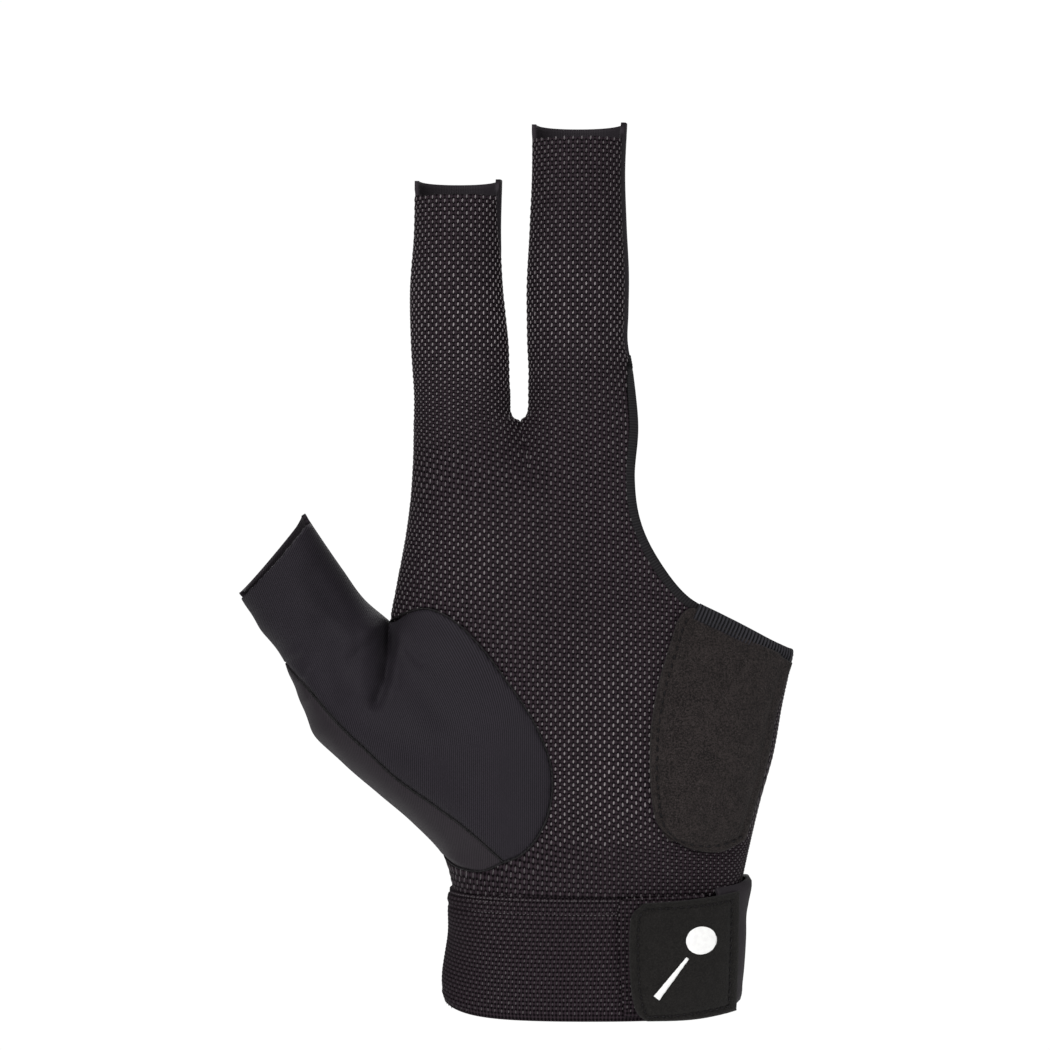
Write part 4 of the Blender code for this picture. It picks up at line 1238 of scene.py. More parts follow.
def stitches(
    paths: Sequence[Sequence[tuple[Vector, Vector]]], pitch: float, length: float, radius: float, dice: random.Random
) -> list[Matrix]:
    """Frames of dashes of thread along paths.

    Args:
        paths: Paths of places and normals.
        pitch: Distance from one stitch to the next.
        length: Length of a stitch.
        radius: Radius of the thread.
        dice: Source of small differences.

    Returns:
        One frame for each stitch.
    """
    frames = []
    for path in paths:
        run = 0.0
        for (a, normal), (b, _) in zip(path, path[1:]):
            step = (b - a).length
            while run < step:
                way = (b - a).normalized()
                place = a + way * run
                across = normal.cross(way)
                way = (way + across * dice.uniform(-0.12, 0.12)).normalized()
                across = normal.cross(way)
                frames.append(frame_of(place, way * length / 2, across * radius, normal * radius))
                run += pitch
            run -= step
    return frames


@dataclass(frozen=True)
class Knots:
    """The light knots of the mesh, set out on a staggered lattice in the weave's own coordinates."""

    pitch_u: float = 0.00098
    pitch_v: float = 0.00184
    half_width: float = 0.00021
    half_length: float = 0.00050
    slant: float = 0.10
    rise: float = 0.00010
    lowest: float = 0.0012

    def frames(
        self, piece: bpy.types.Object, shine_at: Callable[[Vector], float], dice: random.Random
    ) -> tuple[list[Matrix], list[float]]:
        """Finds each knot's frame on a piece.

        Args:
            piece: The cloth, one layer thick, with its weave coordinates.
            shine_at: Brightness of a knot at a place.
            dice: Source of small differences.

        Returns:
            The frames and their brightnesses.
        """
        mesh = piece.data
        layer = mesh.uv_layers["weave"].data
        frames: list[Matrix] = []
        shine: list[float] = []
        mesh.calc_loop_triangles()
        for tri in mesh.loop_triangles:
            (u0, v0), (u1, v1), (u2, v2) = (layer[k].uv for k in tri.loops)
            size = (u1 - u0) * (v2 - v0) - (u2 - u0) * (v1 - v0)
            if abs(size) < 1e-12:
                continue
            p0, p1, p2 = (mesh.vertices[k].co for k in tri.vertices)
            first, last = math.ceil(min(u0, u1, u2) / self.pitch_u), math.floor(max(u0, u1, u2) / self.pitch_u)
            for column in range(first, last + 1):
                u, shift = column * self.pitch_u, 0.5 * (column % 2)
                low = math.ceil(min(v0, v1, v2) / self.pitch_v - shift)
                high = math.floor(max(v0, v1, v2) / self.pitch_v - shift)
                for line in range(low, high + 1):
                    v = (line + shift) * self.pitch_v
                    a = ((u - u0) * (v2 - v0) - (u2 - u0) * (v - v0)) / size
                    b = ((u1 - u0) * (v - v0) - (u - u0) * (v1 - v0)) / size
                    if a < 0 or b < 0 or a + b >= 1 or min(p0.z, p1.z, p2.z) < self.lowest:
                        continue
                    along_u = ((p1 - p0) * (v2 - v0) - (p2 - p0) * (v1 - v0)) / size
                    along_v = ((p2 - p0) * (u1 - u0) - (p1 - p0) * (u2 - u0)) / size
                    place = p0 + (p1 - p0) * a + (p2 - p0) * b
                    size_by = dice.uniform(0.85, 1.1)
                    long_way = (along_v + along_u * (self.slant + dice.uniform(-0.06, 0.06))) * self.half_length
                    frames.append(frame_of(
                        place + tri.normal * self.rise * 0.3, along_u * self.half_width * size_by,
                        long_way * size_by, tri.normal * self.rise,
                    ))
                    shine.append(min(shine_at(place) * dice.uniform(0.72, 1.0), 1.0))
        return frames, shine


class Signal:
    """A shader value that Python arithmetic extends with Math nodes."""

    def __init__(self, paint: "Paint", socket: bpy.types.NodeSocket) -> None:
        """Wraps an output socket of a paint's node tree."""
        self.paint = paint
        self.socket = socket

    def math(self, operation: str, *others: "Signal | float") -> "Signal":
        """Adds a Math node that takes this value first."""
        values: dict[int, "Signal | float"] = {0: self, **dict(enumerate(others, 1))}
        return self.paint.node("ShaderNodeMath", {"operation": operation}, values)

    def __add__(self, other: "Signal | float") -> "Signal":
        """Sum."""
        return self.math("ADD", other)

    __radd__ = __add__

    def __sub__(self, other: "Signal | float") -> "Signal":
        """Difference."""
        return self.math("SUBTRACT", other)

    def __rsub__(self, other: float) -> "Signal":
        """Difference from a number."""
        return (self * -1.0) + other

    def __mul__(self, other: "Signal | float") -> "Signal":
        """Product."""
        return self.math("MULTIPLY", other)

    __rmul__ = __mul__

    def sine(self) -> "Signal":
        """Sine, in radians."""
        return self.math("SINE")

    def clear(self, low: float, high: float) -> "Signal":
        """Smooth step from 0 at low to 1 at high."""
        return self.paint.node(
            "ShaderNodeMapRange", {"interpolation_type": "SMOOTHSTEP"}, {0: self, 1: low, 2: high, 3: 0.0, 4: 1.0}
        )


class Paint:
    """A material and the few kinds of node that its finish is made from."""

    def __init__(self, name: str) -> None:
        """Starts a material with one Principled shader."""
        self.material = bpy.data.materials.new(name)
        self.material.use_nodes = True
        self.tree = self.material.node_tree
        self.shader = self.tree.nodes["Principled BSDF"]

    def node(
        self, kind: str, settings: dict[str, object], values: dict[int | str, object], output: int | str = 0
    ) -> Signal:
        """Adds a node.

        Args:
            kind: The node's type.
            settings: Its settings, set first.
            values: Numbers, colours or signals for its inputs.
            output: The output to return.

        Returns:
            The output.
        """
        node = self.tree.nodes.new(kind)
        for key, value in settings.items():
            setattr(node, key, value)
        for key, value in values.items():
            if isinstance(value, Signal):
                self.tree.links.new(value.socket, node.inputs[key])
            else:
                node.inputs[key].default_value = value
        return Signal(self, node.outputs[output])

    def weave(self) -> tuple[Signal, Signal]:
        """The piece's weave coordinates."""
        place = self.node("ShaderNodeUVMap", {"uv_map": "weave"}, {})
        parts = "ShaderNodeSeparateXYZ"
        return self.node(parts, {}, {0: place}, 0), self.node(parts, {}, {0: place}, 1)

    def attribute(self, name: str) -> Signal:
        """A value kept on the piece's vertices."""
        return self.node("ShaderNodeAttribute", {"attribute_name": name}, {}, "Fac")

    def place(self) -> Signal:
        """The point on the piece, in its own coordinates."""
        return self.node("ShaderNodeTexCoord", {}, {}, "Object")

    def noise(self, scale: float, detail: float = 2.0, rough: float = 0.5) -> Signal:
        """Noise over the piece."""
        values = {"Vector": self.place(), "Scale": scale, "Detail": detail, "Roughness": rough}
        return self.node("ShaderNodeTexNoise", {}, values, 0)

    def mix(self, share: Signal, first: "Colour", second: "Colour") -> Signal:
        """Mixes two colours."""
        return self.node(
            "ShaderNodeMix", {"data_type": "RGBA"}, {0: share, 6: first.rgba(), 7: second.rgba()}, 2
        )

    def mix_into(self, share: Signal, first: Signal, second: "Colour") -> Signal:
        """Mixes a colour into a signal."""
        return self.node("ShaderNodeMix", {"data_type": "RGBA"}, {0: share, 6: first, 7: second.rgba()}, 2)

    def bump(self, height: Signal, distance: float, strength: float = 1.0) -> None:
        """Lets a height, in units of the distance, turn the surface's normals."""
        values = {"Strength": strength, "Distance": distance, "Height": height}
        normal = self.node("ShaderNodeBump", {}, values, 0)
        self.tree.links.new(normal.socket, self.shader.inputs["Normal"])

    def colour(self, signal: Signal) -> None:
        """Feeds the base colour."""
        self.tree.links.new(signal.socket, self.shader.inputs["Base Color"])

    def rough(self, signal: Signal) -> None:
        """Feeds the roughness."""
        self.tree.links.new(signal.socket, self.shader.inputs["Roughness"])

    def fixed(self, **values: float) -> None:
        """Sets sockets of the shader that are the same all over, with spaces written as underscores."""
        for key, value in values.items():
            self.shader.inputs[key.replace("_", " ")].default_value = value


@dataclass(frozen=True)
class Colour:
    """A colour in linear light."""

    red: float
    green: float
    blue: float

    def rgba(self) -> tuple[float, float, float, float]:
        """The colour with full alpha."""
        return (self.red, self.green, self.blue, 1.0)


@dataclass(frozen=True)
class MeshGround:
    """The dark ground of the mesh, between its knots."""

    name: str = "mesh_ground"
    deep: Colour = Colour(0.0018, 0.0011, 0.0017)
    yarn: Colour = Colour(0.0245, 0.0172, 0.0218)
    pitch_u: float = 0.00098
    pitch_v: float = 0.00184

    def paint(self) -> bpy.types.Material:
        """Makes the material: diagonal yarns that cross between the knots."""
        paint = Paint(self.name)
        u, v = paint.weave()
        first = (u * (math.pi / self.pitch_u) + v * (2 * math.pi / self.pitch_v)).sine()
        second = (u * (math.pi / self.pitch_u) - v * (2 * math.pi / self.pitch_v)).sine()
        yarns = (first * second) * 0.5 + 0.5
        grain = paint.noise(2600.0, 2.0)
        height = yarns * 0.7 + grain * 0.3
        paint.colour(paint.mix(height.clear(0.25, 0.75), self.deep, self.yarn))
        paint.bump(height, 0.00022)
        paint.fixed(Roughness=0.82, Specular_IOR_Level=0.05)
        return paint.material


@dataclass(frozen=True)
class KnotYarn:
    """The light yarn of the knots, brightened by each knot's shine: partly where the cloth is stretched, partly painted
    highlight and painted shade.
    """

    name: str = "mesh_knots"
    dim: Colour = Colour(0.022, 0.0175, 0.021)
    bright: Colour = Colour(0.41, 0.375, 0.385)

    def paint(self) -> bpy.types.Material:
        """Makes the material."""
        paint = Paint(self.name)
        # Each knot's shine holds stretch and painted light: highlight where light falls, shade where it does not.
        shine = paint.attribute("shine")
        fibre = paint.noise(3000.0, 1.0)
        paint.colour(paint.mix(shine * (fibre * 0.5 + 0.75), self.dim, self.bright))
        paint.bump(fibre, 0.00004)
        paint.fixed(Roughness=0.6, Specular_IOR_Level=0.2)
        return paint.material


@dataclass(frozen=True)
class StretchKnit:
    """Smooth stretch knit with fine upright ribs, which fan out from the crotch of the thumb if asked."""

    name: str
    low: Colour
    high: Colour
    pitch: float = 0.00043
    rib: float = 0.00007
    fan: bool = False
    sheen: float = 0.03

    def paint(self) -> bpy.types.Material:
        """Makes the material."""
        paint = Paint(self.name)
        u, v = paint.weave()
        ribs = (u * (2 * math.pi / self.pitch)).sine() * 0.5 + 0.5
        loops = (v * (2 * math.pi / (self.pitch * 1.5))).sine() * 0.5 + 0.5
        cloud = paint.noise(60.0, 3.0, 0.6)
        grain = paint.noise(2400.0, 2.0)
        height = ribs * 0.8 + loops * 0.12 + grain * 0.25
        paint.colour(paint.mix((ribs * 0.65 + cloud * 0.3 + grain * 0.2).clear(0.05, 1.0), self.low, self.high))
        paint.bump(height, self.rib)
        paint.rough(cloud * 0.12 + 0.62)
        paint.fixed(Sheen_Weight=self.sheen, Sheen_Roughness=0.4, Specular_IOR_Level=0.12)
        return paint.material


@dataclass(frozen=True)
class Suede:
    """Brushed suede with a short nap."""

    name: str
    low: Colour
    high: Colour
    worn: Colour

    def paint(self) -> bpy.types.Material:
        """Makes the material."""
        paint = Paint(self.name)
        nap = paint.noise(2700.0, 3.0, 0.75)
        brushed = paint.noise(330.0, 4.0, 0.65)
        speck = paint.noise(3600.0, 1.0).clear(0.62, 0.74)
        base = paint.mix((nap * 0.85 + brushed * 0.2).clear(0.38, 0.68), self.low, self.high)
        paint.colour(paint.mix_into(speck * 0.35, base, self.worn))
        paint.bump(nap * 0.7 + brushed * 0.3, 0.00028)
        paint.fixed(Roughness=0.95, Sheen_Weight=0.04, Sheen_Roughness=0.7, Specular_IOR_Level=0.04)
        return paint.material


@dataclass(frozen=True)
class RibbedBand:
    """Folded knit with ribs across its length."""

    name: str
    low: Colour
    high: Colour
    pitch: float = 0.00062

    def paint(self) -> bpy.types.Material:
        """Makes the material."""
        paint = Paint(self.name)
        u, v = paint.weave()
        ribs = (v * (2 * math.pi / self.pitch) + (u * 900.0).sine() * 0.6).sine() * 0.5 + 0.5
        grain = paint.noise(2600.0, 2.0)
        height = ribs * 0.75 + grain * 0.3
        paint.colour(paint.mix(height.clear(0.1, 0.95), self.low, self.high))
        paint.bump(height, 0.00012)
        paint.fixed(Roughness=0.8, Sheen_Weight=0.04, Sheen_Roughness=0.5, Specular_IOR_Level=0.10)
        return paint.material


@dataclass(frozen=True)
class Thread:
    """Twisted sewing thread."""

    name: str
    low: Colour
    high: Colour
    pitch: float = 0.0007

    def paint(self) -> bpy.types.Material:
        """Makes the material."""
        paint = Paint(self.name)
        grain = paint.noise(1800.0, 2.0)
        paint.colour(paint.mix(grain.clear(0.3, 0.7), self.low, self.high))
        paint.bump(grain, 0.0001)
        paint.fixed(Roughness=0.6, Specular_IOR_Level=0.15)
        return paint.material


@dataclass(frozen=True)
class Print:
    """Matt white print, a little uneven where it has soaked in."""

    name: str = "tab_white"
    low: Colour = Colour(0.77, 0.765, 0.76)
    high: Colour = Colour(0.82, 0.82, 0.81)

    def paint(self) -> bpy.types.Material:
        """Makes the material."""
        paint = Paint(self.name)
        cloud = paint.noise(900.0, 2.0)
        paint.colour(paint.mix(cloud.clear(0.3, 0.6), self.low, self.high))
        paint.bump(cloud, 0.00002)
        paint.fixed(Roughness=0.7, Specular_IOR_Level=0.2)
        return paint.material


@dataclass(frozen=True)
class Pale:
    """Plain pale floor."""

    name: str = "pale_floor"
    shade: Colour = Colour(0.88, 0.88, 0.88)
    glow: float = 0.55

    def paint(self) -> bpy.types.Material:
        """Makes the material."""
        paint = Paint(self.name)
        paint.shader.inputs["Base Color"].default_value = self.shade.rgba()
        paint.shader.inputs["Emission Color"].default_value = (1.0, 1.0, 1.0, 1.0)
        paint.fixed(Roughness=0.9, Specular_IOR_Level=0.1, Emission_Strength=self.glow)
        return paint.material


class Dress:
    """Gives pieces their place in the frame: what they ride on, stand for and are finished with."""

    def __init__(self, frame: dict[str, object]) -> None:
        """Keeps the frame.
        """
        self.frame = frame
        self.pieces: dict[str, bpy.types.Object] = {}

    def add(
        self, piece: bpy.types.Object, node: str, paint: bpy.types.Material, thickness: float = 0.0,
        stands_for: bool = False,
    ) -> bpy.types.Object:
        """Places a piece.

        Args:
            piece: The piece.
            node: The CAD node it belongs to, hidden when the piece stands for it.
            paint: Its material.
            thickness: Wall that a single layer is given, or 0 for a closed piece.
            stands_for: Whether it replaces the node.

        Returns:
            The piece.
        """
        piece.data.materials.clear()
        piece.data.materials.append(paint)
        if thickness:
            thicken(piece, thickness)
        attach(piece, "root")
        if stands_for:
            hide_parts(node)
        self.pieces[piece.name] = piece
        LOG.info("%s: %d faces", piece.name, len(piece.data.polygons))
        return piece

    def area(self, name: str) -> float:
        """Area of a piece's one layer."""
        return sum(face.area for face in self.pieces[name].data.polygons)

    def sheet(self, name: str, share: float, ratio: float, extras: Sequence[str] = ()) -> None:
        """Logs the flat size of the rectangle that a stretched panel is cut from.

        Args:
            name: The piece.
            share: Share of the rectangle that the cut fills.
            ratio: Length of the rectangle over its width.
            extras: Pieces that go with it. Not used.
        """
        area = self.area(name)
        width = math.sqrt(area / share / ratio)
        LOG.info("%s flat size %.3f x %.3f m", name, width, width * ratio)


@dataclass(frozen=True)
class Hem:
    """A turned hem along the cutout's rim."""

    name: str
    side: Side
    start: float
    end: float
    half_width: float = 0.00105
    half_depth: float = 0.00070
    pitch: float = 0.00056
    amount: float = 0.05
    proud: float = -0.00030
    station: float = 0.00014

    def path(self, form: HandForm, line: KDTree) -> list[Rail]:
        """Stations at equal distances along the rim, wide enough to reach the hem's line."""
        fine = 500
        spots = []
        for k in range(fine + 1):
            v = self.start + (self.end - self.start) * k / fine
            spots.append((form.point("middle", self.side, v, 1.0), form.point("middle", self.side, v, 0.93)))
        runs = [0.0]
        for (a, _), (b, _) in zip(spots, spots[1:]):
            runs.append(runs[-1] + (b - a).length)
        count = round(runs[-1] / self.station)
        even: list[tuple[Vector, Vector]] = []
        for k in range(count + 1):
            i = min(max(bisect.bisect_left(runs, runs[-1] * k / count), 1), fine)
            t = (runs[-1] * k / count - runs[i - 1]) / max(runs[i] - runs[i - 1], 1e-9)
            even.append(tuple(a.lerp(b, t) for a, b in zip(spots[i - 1], spots[i])))
        rails = []
        reach = 9
        facing = 1.0 if self.side is Side.BACK else -1.0
        for k, (rim, inner) in enumerate(even):
            tangent = (even[min(k + reach, count)][0] - even[max(k - reach, 0)][0]).normalized()
            inward = inner - rim
            inward = (inward - tangent * inward.dot(tangent)).normalized()
            out = inward.cross(tangent)
            if out.y * facing < 0 and abs(out.y) > 0.02:
                out = -out
            elif abs(out.y) <= 0.02 and out.x < 0:
                out = -out
            away = line.find((rim.x, 0.0, rim.z))[2]
            half = max(self.half_width, away / 2 + 0.00010)
            middle = rim + inward * (half - 0.00005) + out * self.proud
            rails.append(Rail(middle, inward, out, half / self.half_width))
        return rails

    def build(self, form: HandForm, line: KDTree) -> bpy.types.Object:
        """Makes the hem, with its ribs and the valley of its stitches."""

        def depth(run: float, turn: float) -> float:
            """Ribs across the band, and a valley along it."""
            ribs = self.amount * math.sin(2 * math.pi * run / self.pitch)
            return 1.0 + ribs - 0.16 * bell((math.cos(turn) - 0.35) / 0.16)

        return swept(self.name, self.path(form, line), self.half_width, self.half_depth, 24, depth)


def thumb_fan(piece: bpy.types.Object) -> None:
    """Turns the thumb's ribs: they lean away from the crease that runs down from the crotch.

    Args:
        piece: The thumb's cloth, one layer thick.
    """
    low, bend = 0.0556, 0.014
    mesh = piece.data
    layer = mesh.uv_layers["weave"].data
    for face in mesh.polygons:
        crease = -0.0459 - 0.0023 * (max(0.0866 - face.center.z, 0.0) / 0.0164) ** 3
        right = face.center.x > crease
        for k in face.loop_indices:
            place = mesh.vertices[mesh.loops[k].vertex_index].co
            up = max(place.z - low, 0.0)
            rise = up * up / (2 * bend) if up < bend else up - bend / 2
            lean = -0.5 * (1 - ramp((place.x - crease - 0.003) / 0.040)) if right else 0.42
            layer[k].uv = (place.x - lean * rise, layer[k].uv[1])


def knot_shine(place: Vector) -> float:
    """Brightness of the palm mesh's knots: more where the cloth is stretched over the hand, and more as a painted
    highlight where light falls on it; dimmer below 38.5 mm, next to the cuff.
    """
    # Spots of stretch and painted highlight: x, z, radius and gain.
    spots = (
        (0.0014, 0.0522, 0.0135, 0.42), (0.0036, 0.0713, 0.0135, 0.22), (-0.0302, 0.1546, 0.0158, 0.42),
        (-0.0268, 0.1006, 0.0113, 0.25), (-0.0043, 0.1591, 0.0135, 0.32), (-0.0280, 0.1830, 0.0110, 0.20),
    )
    total = 0.25
    for x, z, radius, gain in spots:
        total += gain * bell(math.hypot(place.x - x, place.z - z) / radius)
    return total * (0.55 if place.z < 0.0385 else 1.0)


def cuff_shine(place: Vector) -> float:
    """Brightness of the cuff's knots: a slow wave across the cuff, faded out toward its left side as painted shade."""
    return (0.12 + 0.03 * math.sin(place.x * 190.0)) * ramp((place.x + 0.034) / 0.014)


@dataclass
class Glove:
    """The whole glove's looks, one method to a group of its pieces."""

    sizes: Sizes
    dress: Dress
    cloth: float = 0.0010
    seed: int = 11

    def __post_init__(self) -> None:
        """Makes the form, the sewn body and the finishes."""
        self.dice = random.Random(self.seed)
        self.form = HandForm(self.sizes)
        self.body = SewnBody(self.form)
        self.wrist = Wrist(self.sizes)
        self.wrist_tree = self.wrist.face_tree()
        self.ground = MeshGround().paint()
        self.knots = KnotYarn().paint()
        self.cuff_ground = MeshGround("cuff_ground", pitch_u=0.00082, pitch_v=0.0018).paint()
        self.rib = StretchKnit("thumb_rib", Colour(0.0042, 0.0034, 0.0048), Colour(0.0225, 0.0188, 0.0250), rib=0.00005).paint()
        self.smooth = StretchKnit(
            "back_knit", Colour(0.010, 0.0082, 0.010), Colour(0.027, 0.0222, 0.027), rib=0.00004
        ).paint()
        self.thread = Thread("thread", Colour(0.0025, 0.0022, 0.0025), Colour(0.011, 0.0098, 0.011)).paint()
        self.hem = RibbedBand("hem_knit", Colour(0.005, 0.005, 0.006), Colour(0.030, 0.029, 0.034), 0.00083).paint()
        self.dark_hem = RibbedBand("dark_hem_knit", Colour(0.007, 0.0066, 0.0074), Colour(0.016, 0.015, 0.0165)).paint()

    def sew_body(self) -> None:
        """Palm, thumb and back panels, and the knots of the palm's mesh."""
        palm = self.body.panel(Cloth.MESH, "palm_cloth")
        frames, shine = Knots().frames(palm, knot_shine, self.dice)
        self.dress.add(palm, "palm_mesh", self.ground, self.cloth, True)
        self.dress.add(scattered("palm_knots", frames, shine), "palm_mesh", self.knots)
        thumb = self.body.panel(Cloth.THUMB, "thumb_cloth")
        thumb_fan(thumb)
        self.dress.add(thumb, "thumb_panel", self.rib, self.cloth, True)
        back = self.body.panel(Cloth.BACK, "back_cloth")
        self.dress.add(back, "back_panel", self.smooth, self.cloth, True)
        self.dress.sheet("palm_cloth", 0.55, 1.9, ["palm_knots"])
        self.dress.sheet("thumb_cloth", 0.6, 1.3)
        self.dress.sheet("back_cloth", 0.55, 1.6)

    def sew_hems(self) -> None:
        """Turned hems round the cutout."""
        for hem in (
            Hem("cutout_hem_band", Side.PALM, 7.5, 13.5),
            Hem(
                "patch_hem_band", Side.PALM, 5.25, 7.66, half_width=0.00190, half_depth=0.0009,
                pitch=0.00083, amount=0.26, proud=0.0010,
            ),
            Hem("back_hem_band", Side.BACK, 5.0, 13.2),
        ):
            node = hem.name.removesuffix("_band")
            paint = self.hem if node == "patch_hem" else self.dark_hem
            self.dress.add(hem.build(self.form, path_tree(self.body.hem_line)), node, paint, stands_for=True)

    def sew_seams(self) -> None:
        """Fine ropes of thread in the seams, and needle bumps along the lobe."""
        sizes = self.sizes
        lines = {
            "lobe_rope": (LOBE_SEAM[:-1], "thumb_panel", 0.00026),
            "thumb_rope": (THUMB_SEAM, "thumb_panel", 0.00022),
            "strip_rope": (STRIP_FOOT, "back_panel", 0.00022),
        }
        for name, (points, node, radius) in lines.items():
            path = [self.body.laid(x, z, 0.00002) for x, z in smooth_path(sizes.in_plane(points), 0.00022)]
            rope = swept(
                name, rails_along(path), radius, radius, 8,
                lambda run, turn: 1 + 0.35 * math.sin(2 * math.pi * run / 0.0011 + turn),
            )
            self.dress.add(rope, node, self.thread)

    def sew_patch(self) -> None:
        """Suede patch at the palm's heel, with its line of stitches."""
        borders = tuple(
            smooth_path(self.sizes.in_plane(b), 0.0008) for b in (PATCH_LEFT, PATCH_FOOT, PATCH_RIGHT, PATCH_TOP)
        )
        patch = LaidSheet("heel_suede", borders, self.body.laid, self.sizes.lay_gap, 0.0011, 0.0018)
        suede = Suede("suede", Colour(0.0040, 0.0032, 0.0032), Colour(0.0290, 0.0230, 0.0222), Colour(0.085, 0.073, 0.070))
        lines = patch.stitch_line("lf")
        self.dress.add(patch.build(), "heel_patch", suede.paint(), patch.thickness, True)
        frames = stitches(lines, 0.00207, 0.0014, 0.00027, self.dice)
        self.dress.add(scattered("patch_stitches", frames, [0.3] * len(frames)), "heel_patch", self.thread)

    def on_wrist(self, x: float, z: float, offset: float) -> tuple[Vector, Vector]:
        """Point at an offset outside the cuff's palm side, and the normal there."""
        place, normal, _, _ = self.wrist_tree.ray_cast(Vector((x, -0.1, z)), Vector((0, 1, 0)))
        if place is None:
            place, normal, _, _ = self.wrist_tree.find_nearest(Vector((x, 0, z)))
        if normal.y > 0:
            normal = -normal
        return place + normal * offset, normal

    def wrist_borders(self, *tables: Sequence[Point]) -> tuple[list[Flat], ...]:
        """Borders from percent of the wrist's breadth and of the cuff's height."""
        sizes = self.sizes
        return tuple(
            smooth_path([(sizes.wrist_breadth * p.x / 100, sizes.cuff_height * p.z / 100) for p in t], 0.0008)
            for t in tables
        )

    def make_wrist(self) -> None:
        """Cuff, strap, and the closure's loop patch and tab."""
        cuff = self.wrist.cuff()
        weave = Knots(pitch_u=0.00082, pitch_v=0.0018, half_width=0.00018, half_length=0.00040, rise=0.00008)
        frames, shine = weave.frames(cuff, cuff_shine, self.dice)
        self.dress.add(cuff, "cuff", self.cuff_ground, self.cloth, True)
        self.dress.add(scattered("cuff_knots", frames, shine), "cuff", self.knots)
        rows = []
        for height in (0.0263, 0.0256, 0.0239, 0.0232):
            ring = [self.wrist.ring_point(a, height / self.sizes.cuff_height, -0.00012) for a in
                    self.wrist.even_angles(math.pi * 0.9, math.pi * 2.1, 360)]
            rows.append([(p, Vector((p.x * 0.4, p.y, 0)).normalized()) for p in ring])
        frames = stitches(rows, 0.00092, 0.00062, 0.00017, self.dice)
        self.dress.add(scattered("cuff_seam_rows", frames, [0.11] * len(frames)), "cuff", self.knots)
        strap = self.wrist.strap()
        self.dress.add(strap, "strap", self.smooth, self.cloth, True)
        gap = self.sizes.lay_gap
        loop = LaidSheet(
            "closure_loop", self.wrist_borders(LOOP_LEFT, LOOP_FOOT, LOOP_RIGHT, LOOP_TOP), self.on_wrist,
            gap, 0.0012, 0.0014, 40, 40,
        )
        piece = loop.build()
        frames, shine = weave.frames(piece, cuff_shine, self.dice)
        self.dress.add(piece, "loop_patch", self.cuff_ground, loop.thickness, True)
        self.dress.add(scattered("loop_knots", frames, shine), "loop_patch", self.knots)
        tab = LaidSheet(
            "closure_tab", self.wrist_borders(TAB_LEFT, TAB_FOOT, TAB_RIGHT, TAB_TOP), self.on_wrist,
            2 * gap + 0.0012, 0.0014, 0.0018, 60, 60,
        )
        leather = Suede("tab_leather", Colour(0.0045, 0.0040, 0.0037), Colour(0.0130, 0.0118, 0.0110), Colour(0.03, 0.029, 0.028))
        lines = tab.stitch_line("lftr")
        self.dress.add(tab.build(), "tab", leather.paint(), tab.thickness, True)
        frames = stitches(lines, 0.00165, 0.00115, 0.00026, self.dice)
        self.dress.add(scattered("tab_stitches", frames, [0.3] * len(frames)), "tab", self.thread)
        self.print_tab(2 * gap + 0.0012 + 0.0014 + 0.00032)

    def print_tab(self, height: float) -> None:
        """White ball and tapered bar, printed on the tab.

        Args:
            height: Height of the print over the cuff.
        """
        work = bmesh.new()
        bmesh.ops.create_grid(work, x_segments=24, y_segments=24, size=1.0)
        for vert in work.verts:
            x, y = vert.co.x, vert.co.y
            round_x, round_y = x * math.sqrt(1 - y * y / 2), y * math.sqrt(1 - x * x / 2)
            vert.co = Vector((0.0212 + 0.0030 * round_x, 0.0178 + 0.0030 * round_y, 0.0))
        butt, tip = Vector((0.0122, 0.0058, 0.0)), Vector((0.0185, 0.0142, 0.0))
        across = Vector((butt.y - tip.y, tip.x - butt.x, 0.0)).normalized()
        for vert in bmesh.ops.create_grid(work, x_segments=30, y_segments=3, size=0.5)["verts"]:
            run, side = vert.co.x + 0.5, vert.co.y * 2
            vert.co = butt.lerp(tip, run) + across * side * (0.00072 - 0.00040 * run)
        for vert in work.verts:
            vert.co = self.on_wrist(vert.co.x, vert.co.y, height)[0]
        work.normal_update()
        bmesh.ops.reverse_faces(work, faces=[face for face in work.faces if face.normal.y > 0])
        piece = piece_from(work, "tab_print")
        self.dress.add(piece, "tab", Print().paint(), 0.00008)

    def declare_wrist(self) -> None:
        self.dress.sheet("wrist_cuff", 0.95, 0.17, ["cuff_knots", "cuff_seam_rows"])
        self.dress.sheet("wrist_strap", 0.95, 0.5)
        self.dress.sheet("heel_suede", 0.75, 1.9, ["patch_stitches"])
        self.dress.sheet("closure_loop", 0.95, 1.3, ["loop_knots"])
        self.dress.sheet("closure_tab", 0.93, 1.2, ["tab_stitches", "tab_print"])


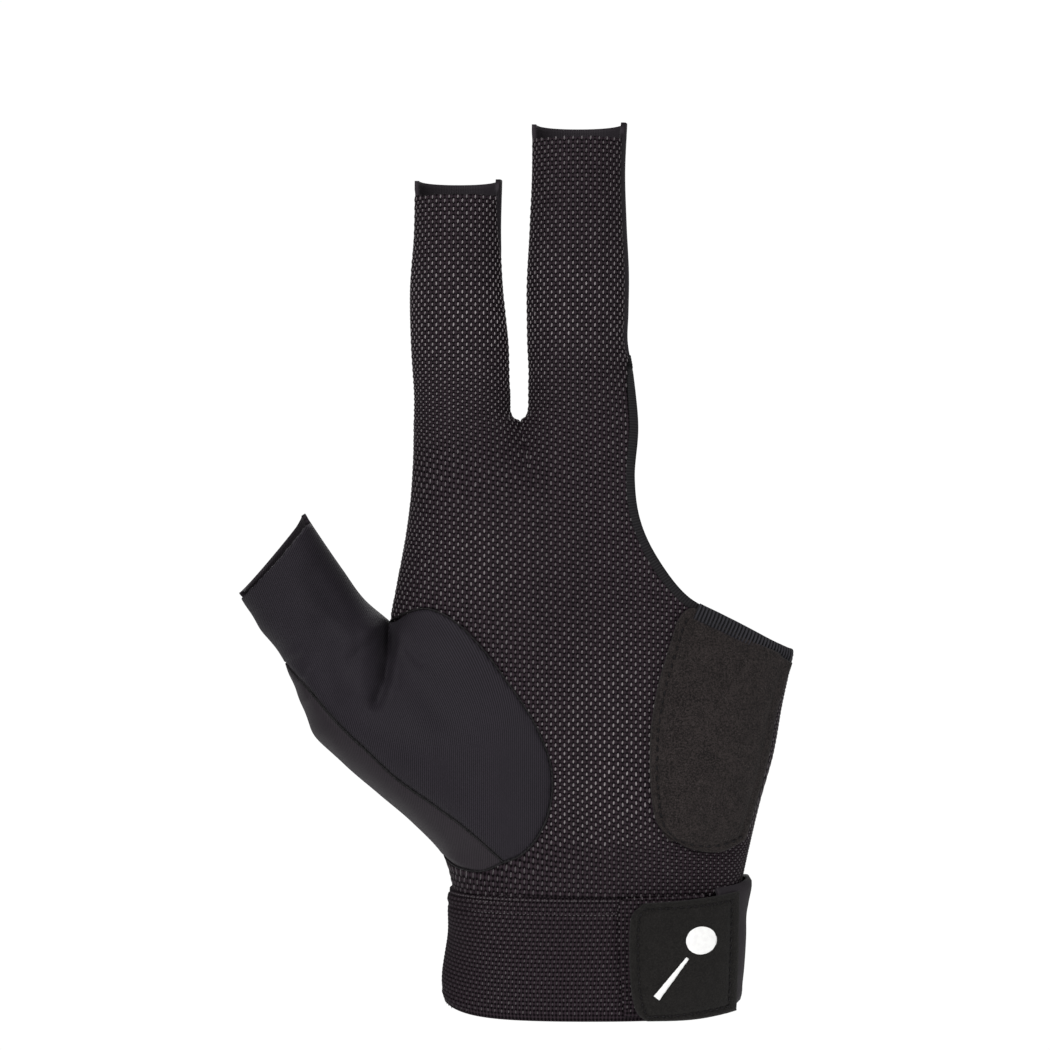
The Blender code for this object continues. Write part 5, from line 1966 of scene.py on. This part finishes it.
@dataclass(frozen=True)
class Studio:
    """White surroundings, two soft lights and the camera of the photograph."""

    stand: Vector = field(default_factory=lambda: Vector((-0.01553, -0.680, 0.10845)))
    lens: float = 103.6
    floor_level: float = -0.10
    dome: float = 0.26

    def camera(self) -> None:
        """Sets the camera level, looking at the palm side."""
        data = bpy.data.cameras.new("camera")
        data.lens, data.sensor_width = self.lens, 36.0
        data.clip_start, data.clip_end = 0.01, 30.0
        camera = bpy.data.objects.new("camera", data)
        camera.location, camera.rotation_euler = self.stand, (math.pi / 2, 0.0, 0.0)
        bpy.context.scene.collection.objects.link(camera)
        bpy.context.scene.camera = camera

    def lamp(self, name: str, place: Vector, size: float, power: float) -> None:
        """Adds a square soft light aimed at the glove's middle."""
        data = bpy.data.lights.new(name, "AREA")
        data.size, data.energy = size, power
        lamp = bpy.data.objects.new(name, data)
        lamp.location = place
        lamp.rotation_euler = (Vector((0, 0, 0.1)) - place).to_track_quat("-Z", "Y").to_euler()
        bpy.context.scene.collection.objects.link(lamp)

    def light(self) -> None:
        """Lights the scene."""
        world = bpy.data.worlds.new("white")
        world.use_nodes = True
        tree = world.node_tree
        background = tree.nodes["Background"]
        background.inputs["Color"].default_value = (1.0, 1.0, 1.0, 1.0)
        seen = tree.nodes.new("ShaderNodeLightPath")
        strength = tree.nodes.new("ShaderNodeMapRange")
        strength.inputs["To Min"].default_value = self.dome
        strength.inputs["To Max"].default_value = 1.02
        tree.links.new(seen.outputs["Is Camera Ray"], strength.inputs["Value"])
        tree.links.new(strength.outputs["Result"], background.inputs["Strength"])
        bpy.context.scene.world = world
        self.lamp("key", Vector((-0.40, -0.75, 0.65)), 0.40, 8.5)
        self.lamp("fill", Vector((0.60, -0.70, 0.20)), 0.60, 3.0)
        self.lamp("back", Vector((0.0, 0.9, 0.6)), 0.60, 4.0)
        bpy.context.scene.view_settings.view_transform = "Standard"

    def floor(self) -> None:
        """Lays the pale floor."""
        work = bmesh.new()
        bmesh.ops.create_grid(work, x_segments=2, y_segments=2, size=0.3)
        for vert in work.verts:
            vert.co.z = self.floor_level
        floor = piece_from(work, "floor")
        floor.data.materials.append(Pale().paint())


def main() -> None:
    """Builds the scene."""
    logging.basicConfig(level=logging.INFO, format="%(message)s")
    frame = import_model()
    studio = Studio()
    studio.camera()
    glove = Glove(Sizes(), Dress(frame))
    glove.sew_body()
    glove.sew_hems()
    glove.sew_seams()
    glove.sew_patch()
    glove.make_wrist()
    glove.declare_wrist()
    studio.light()
    studio.floor()


if __name__ == "__main__":
    main()
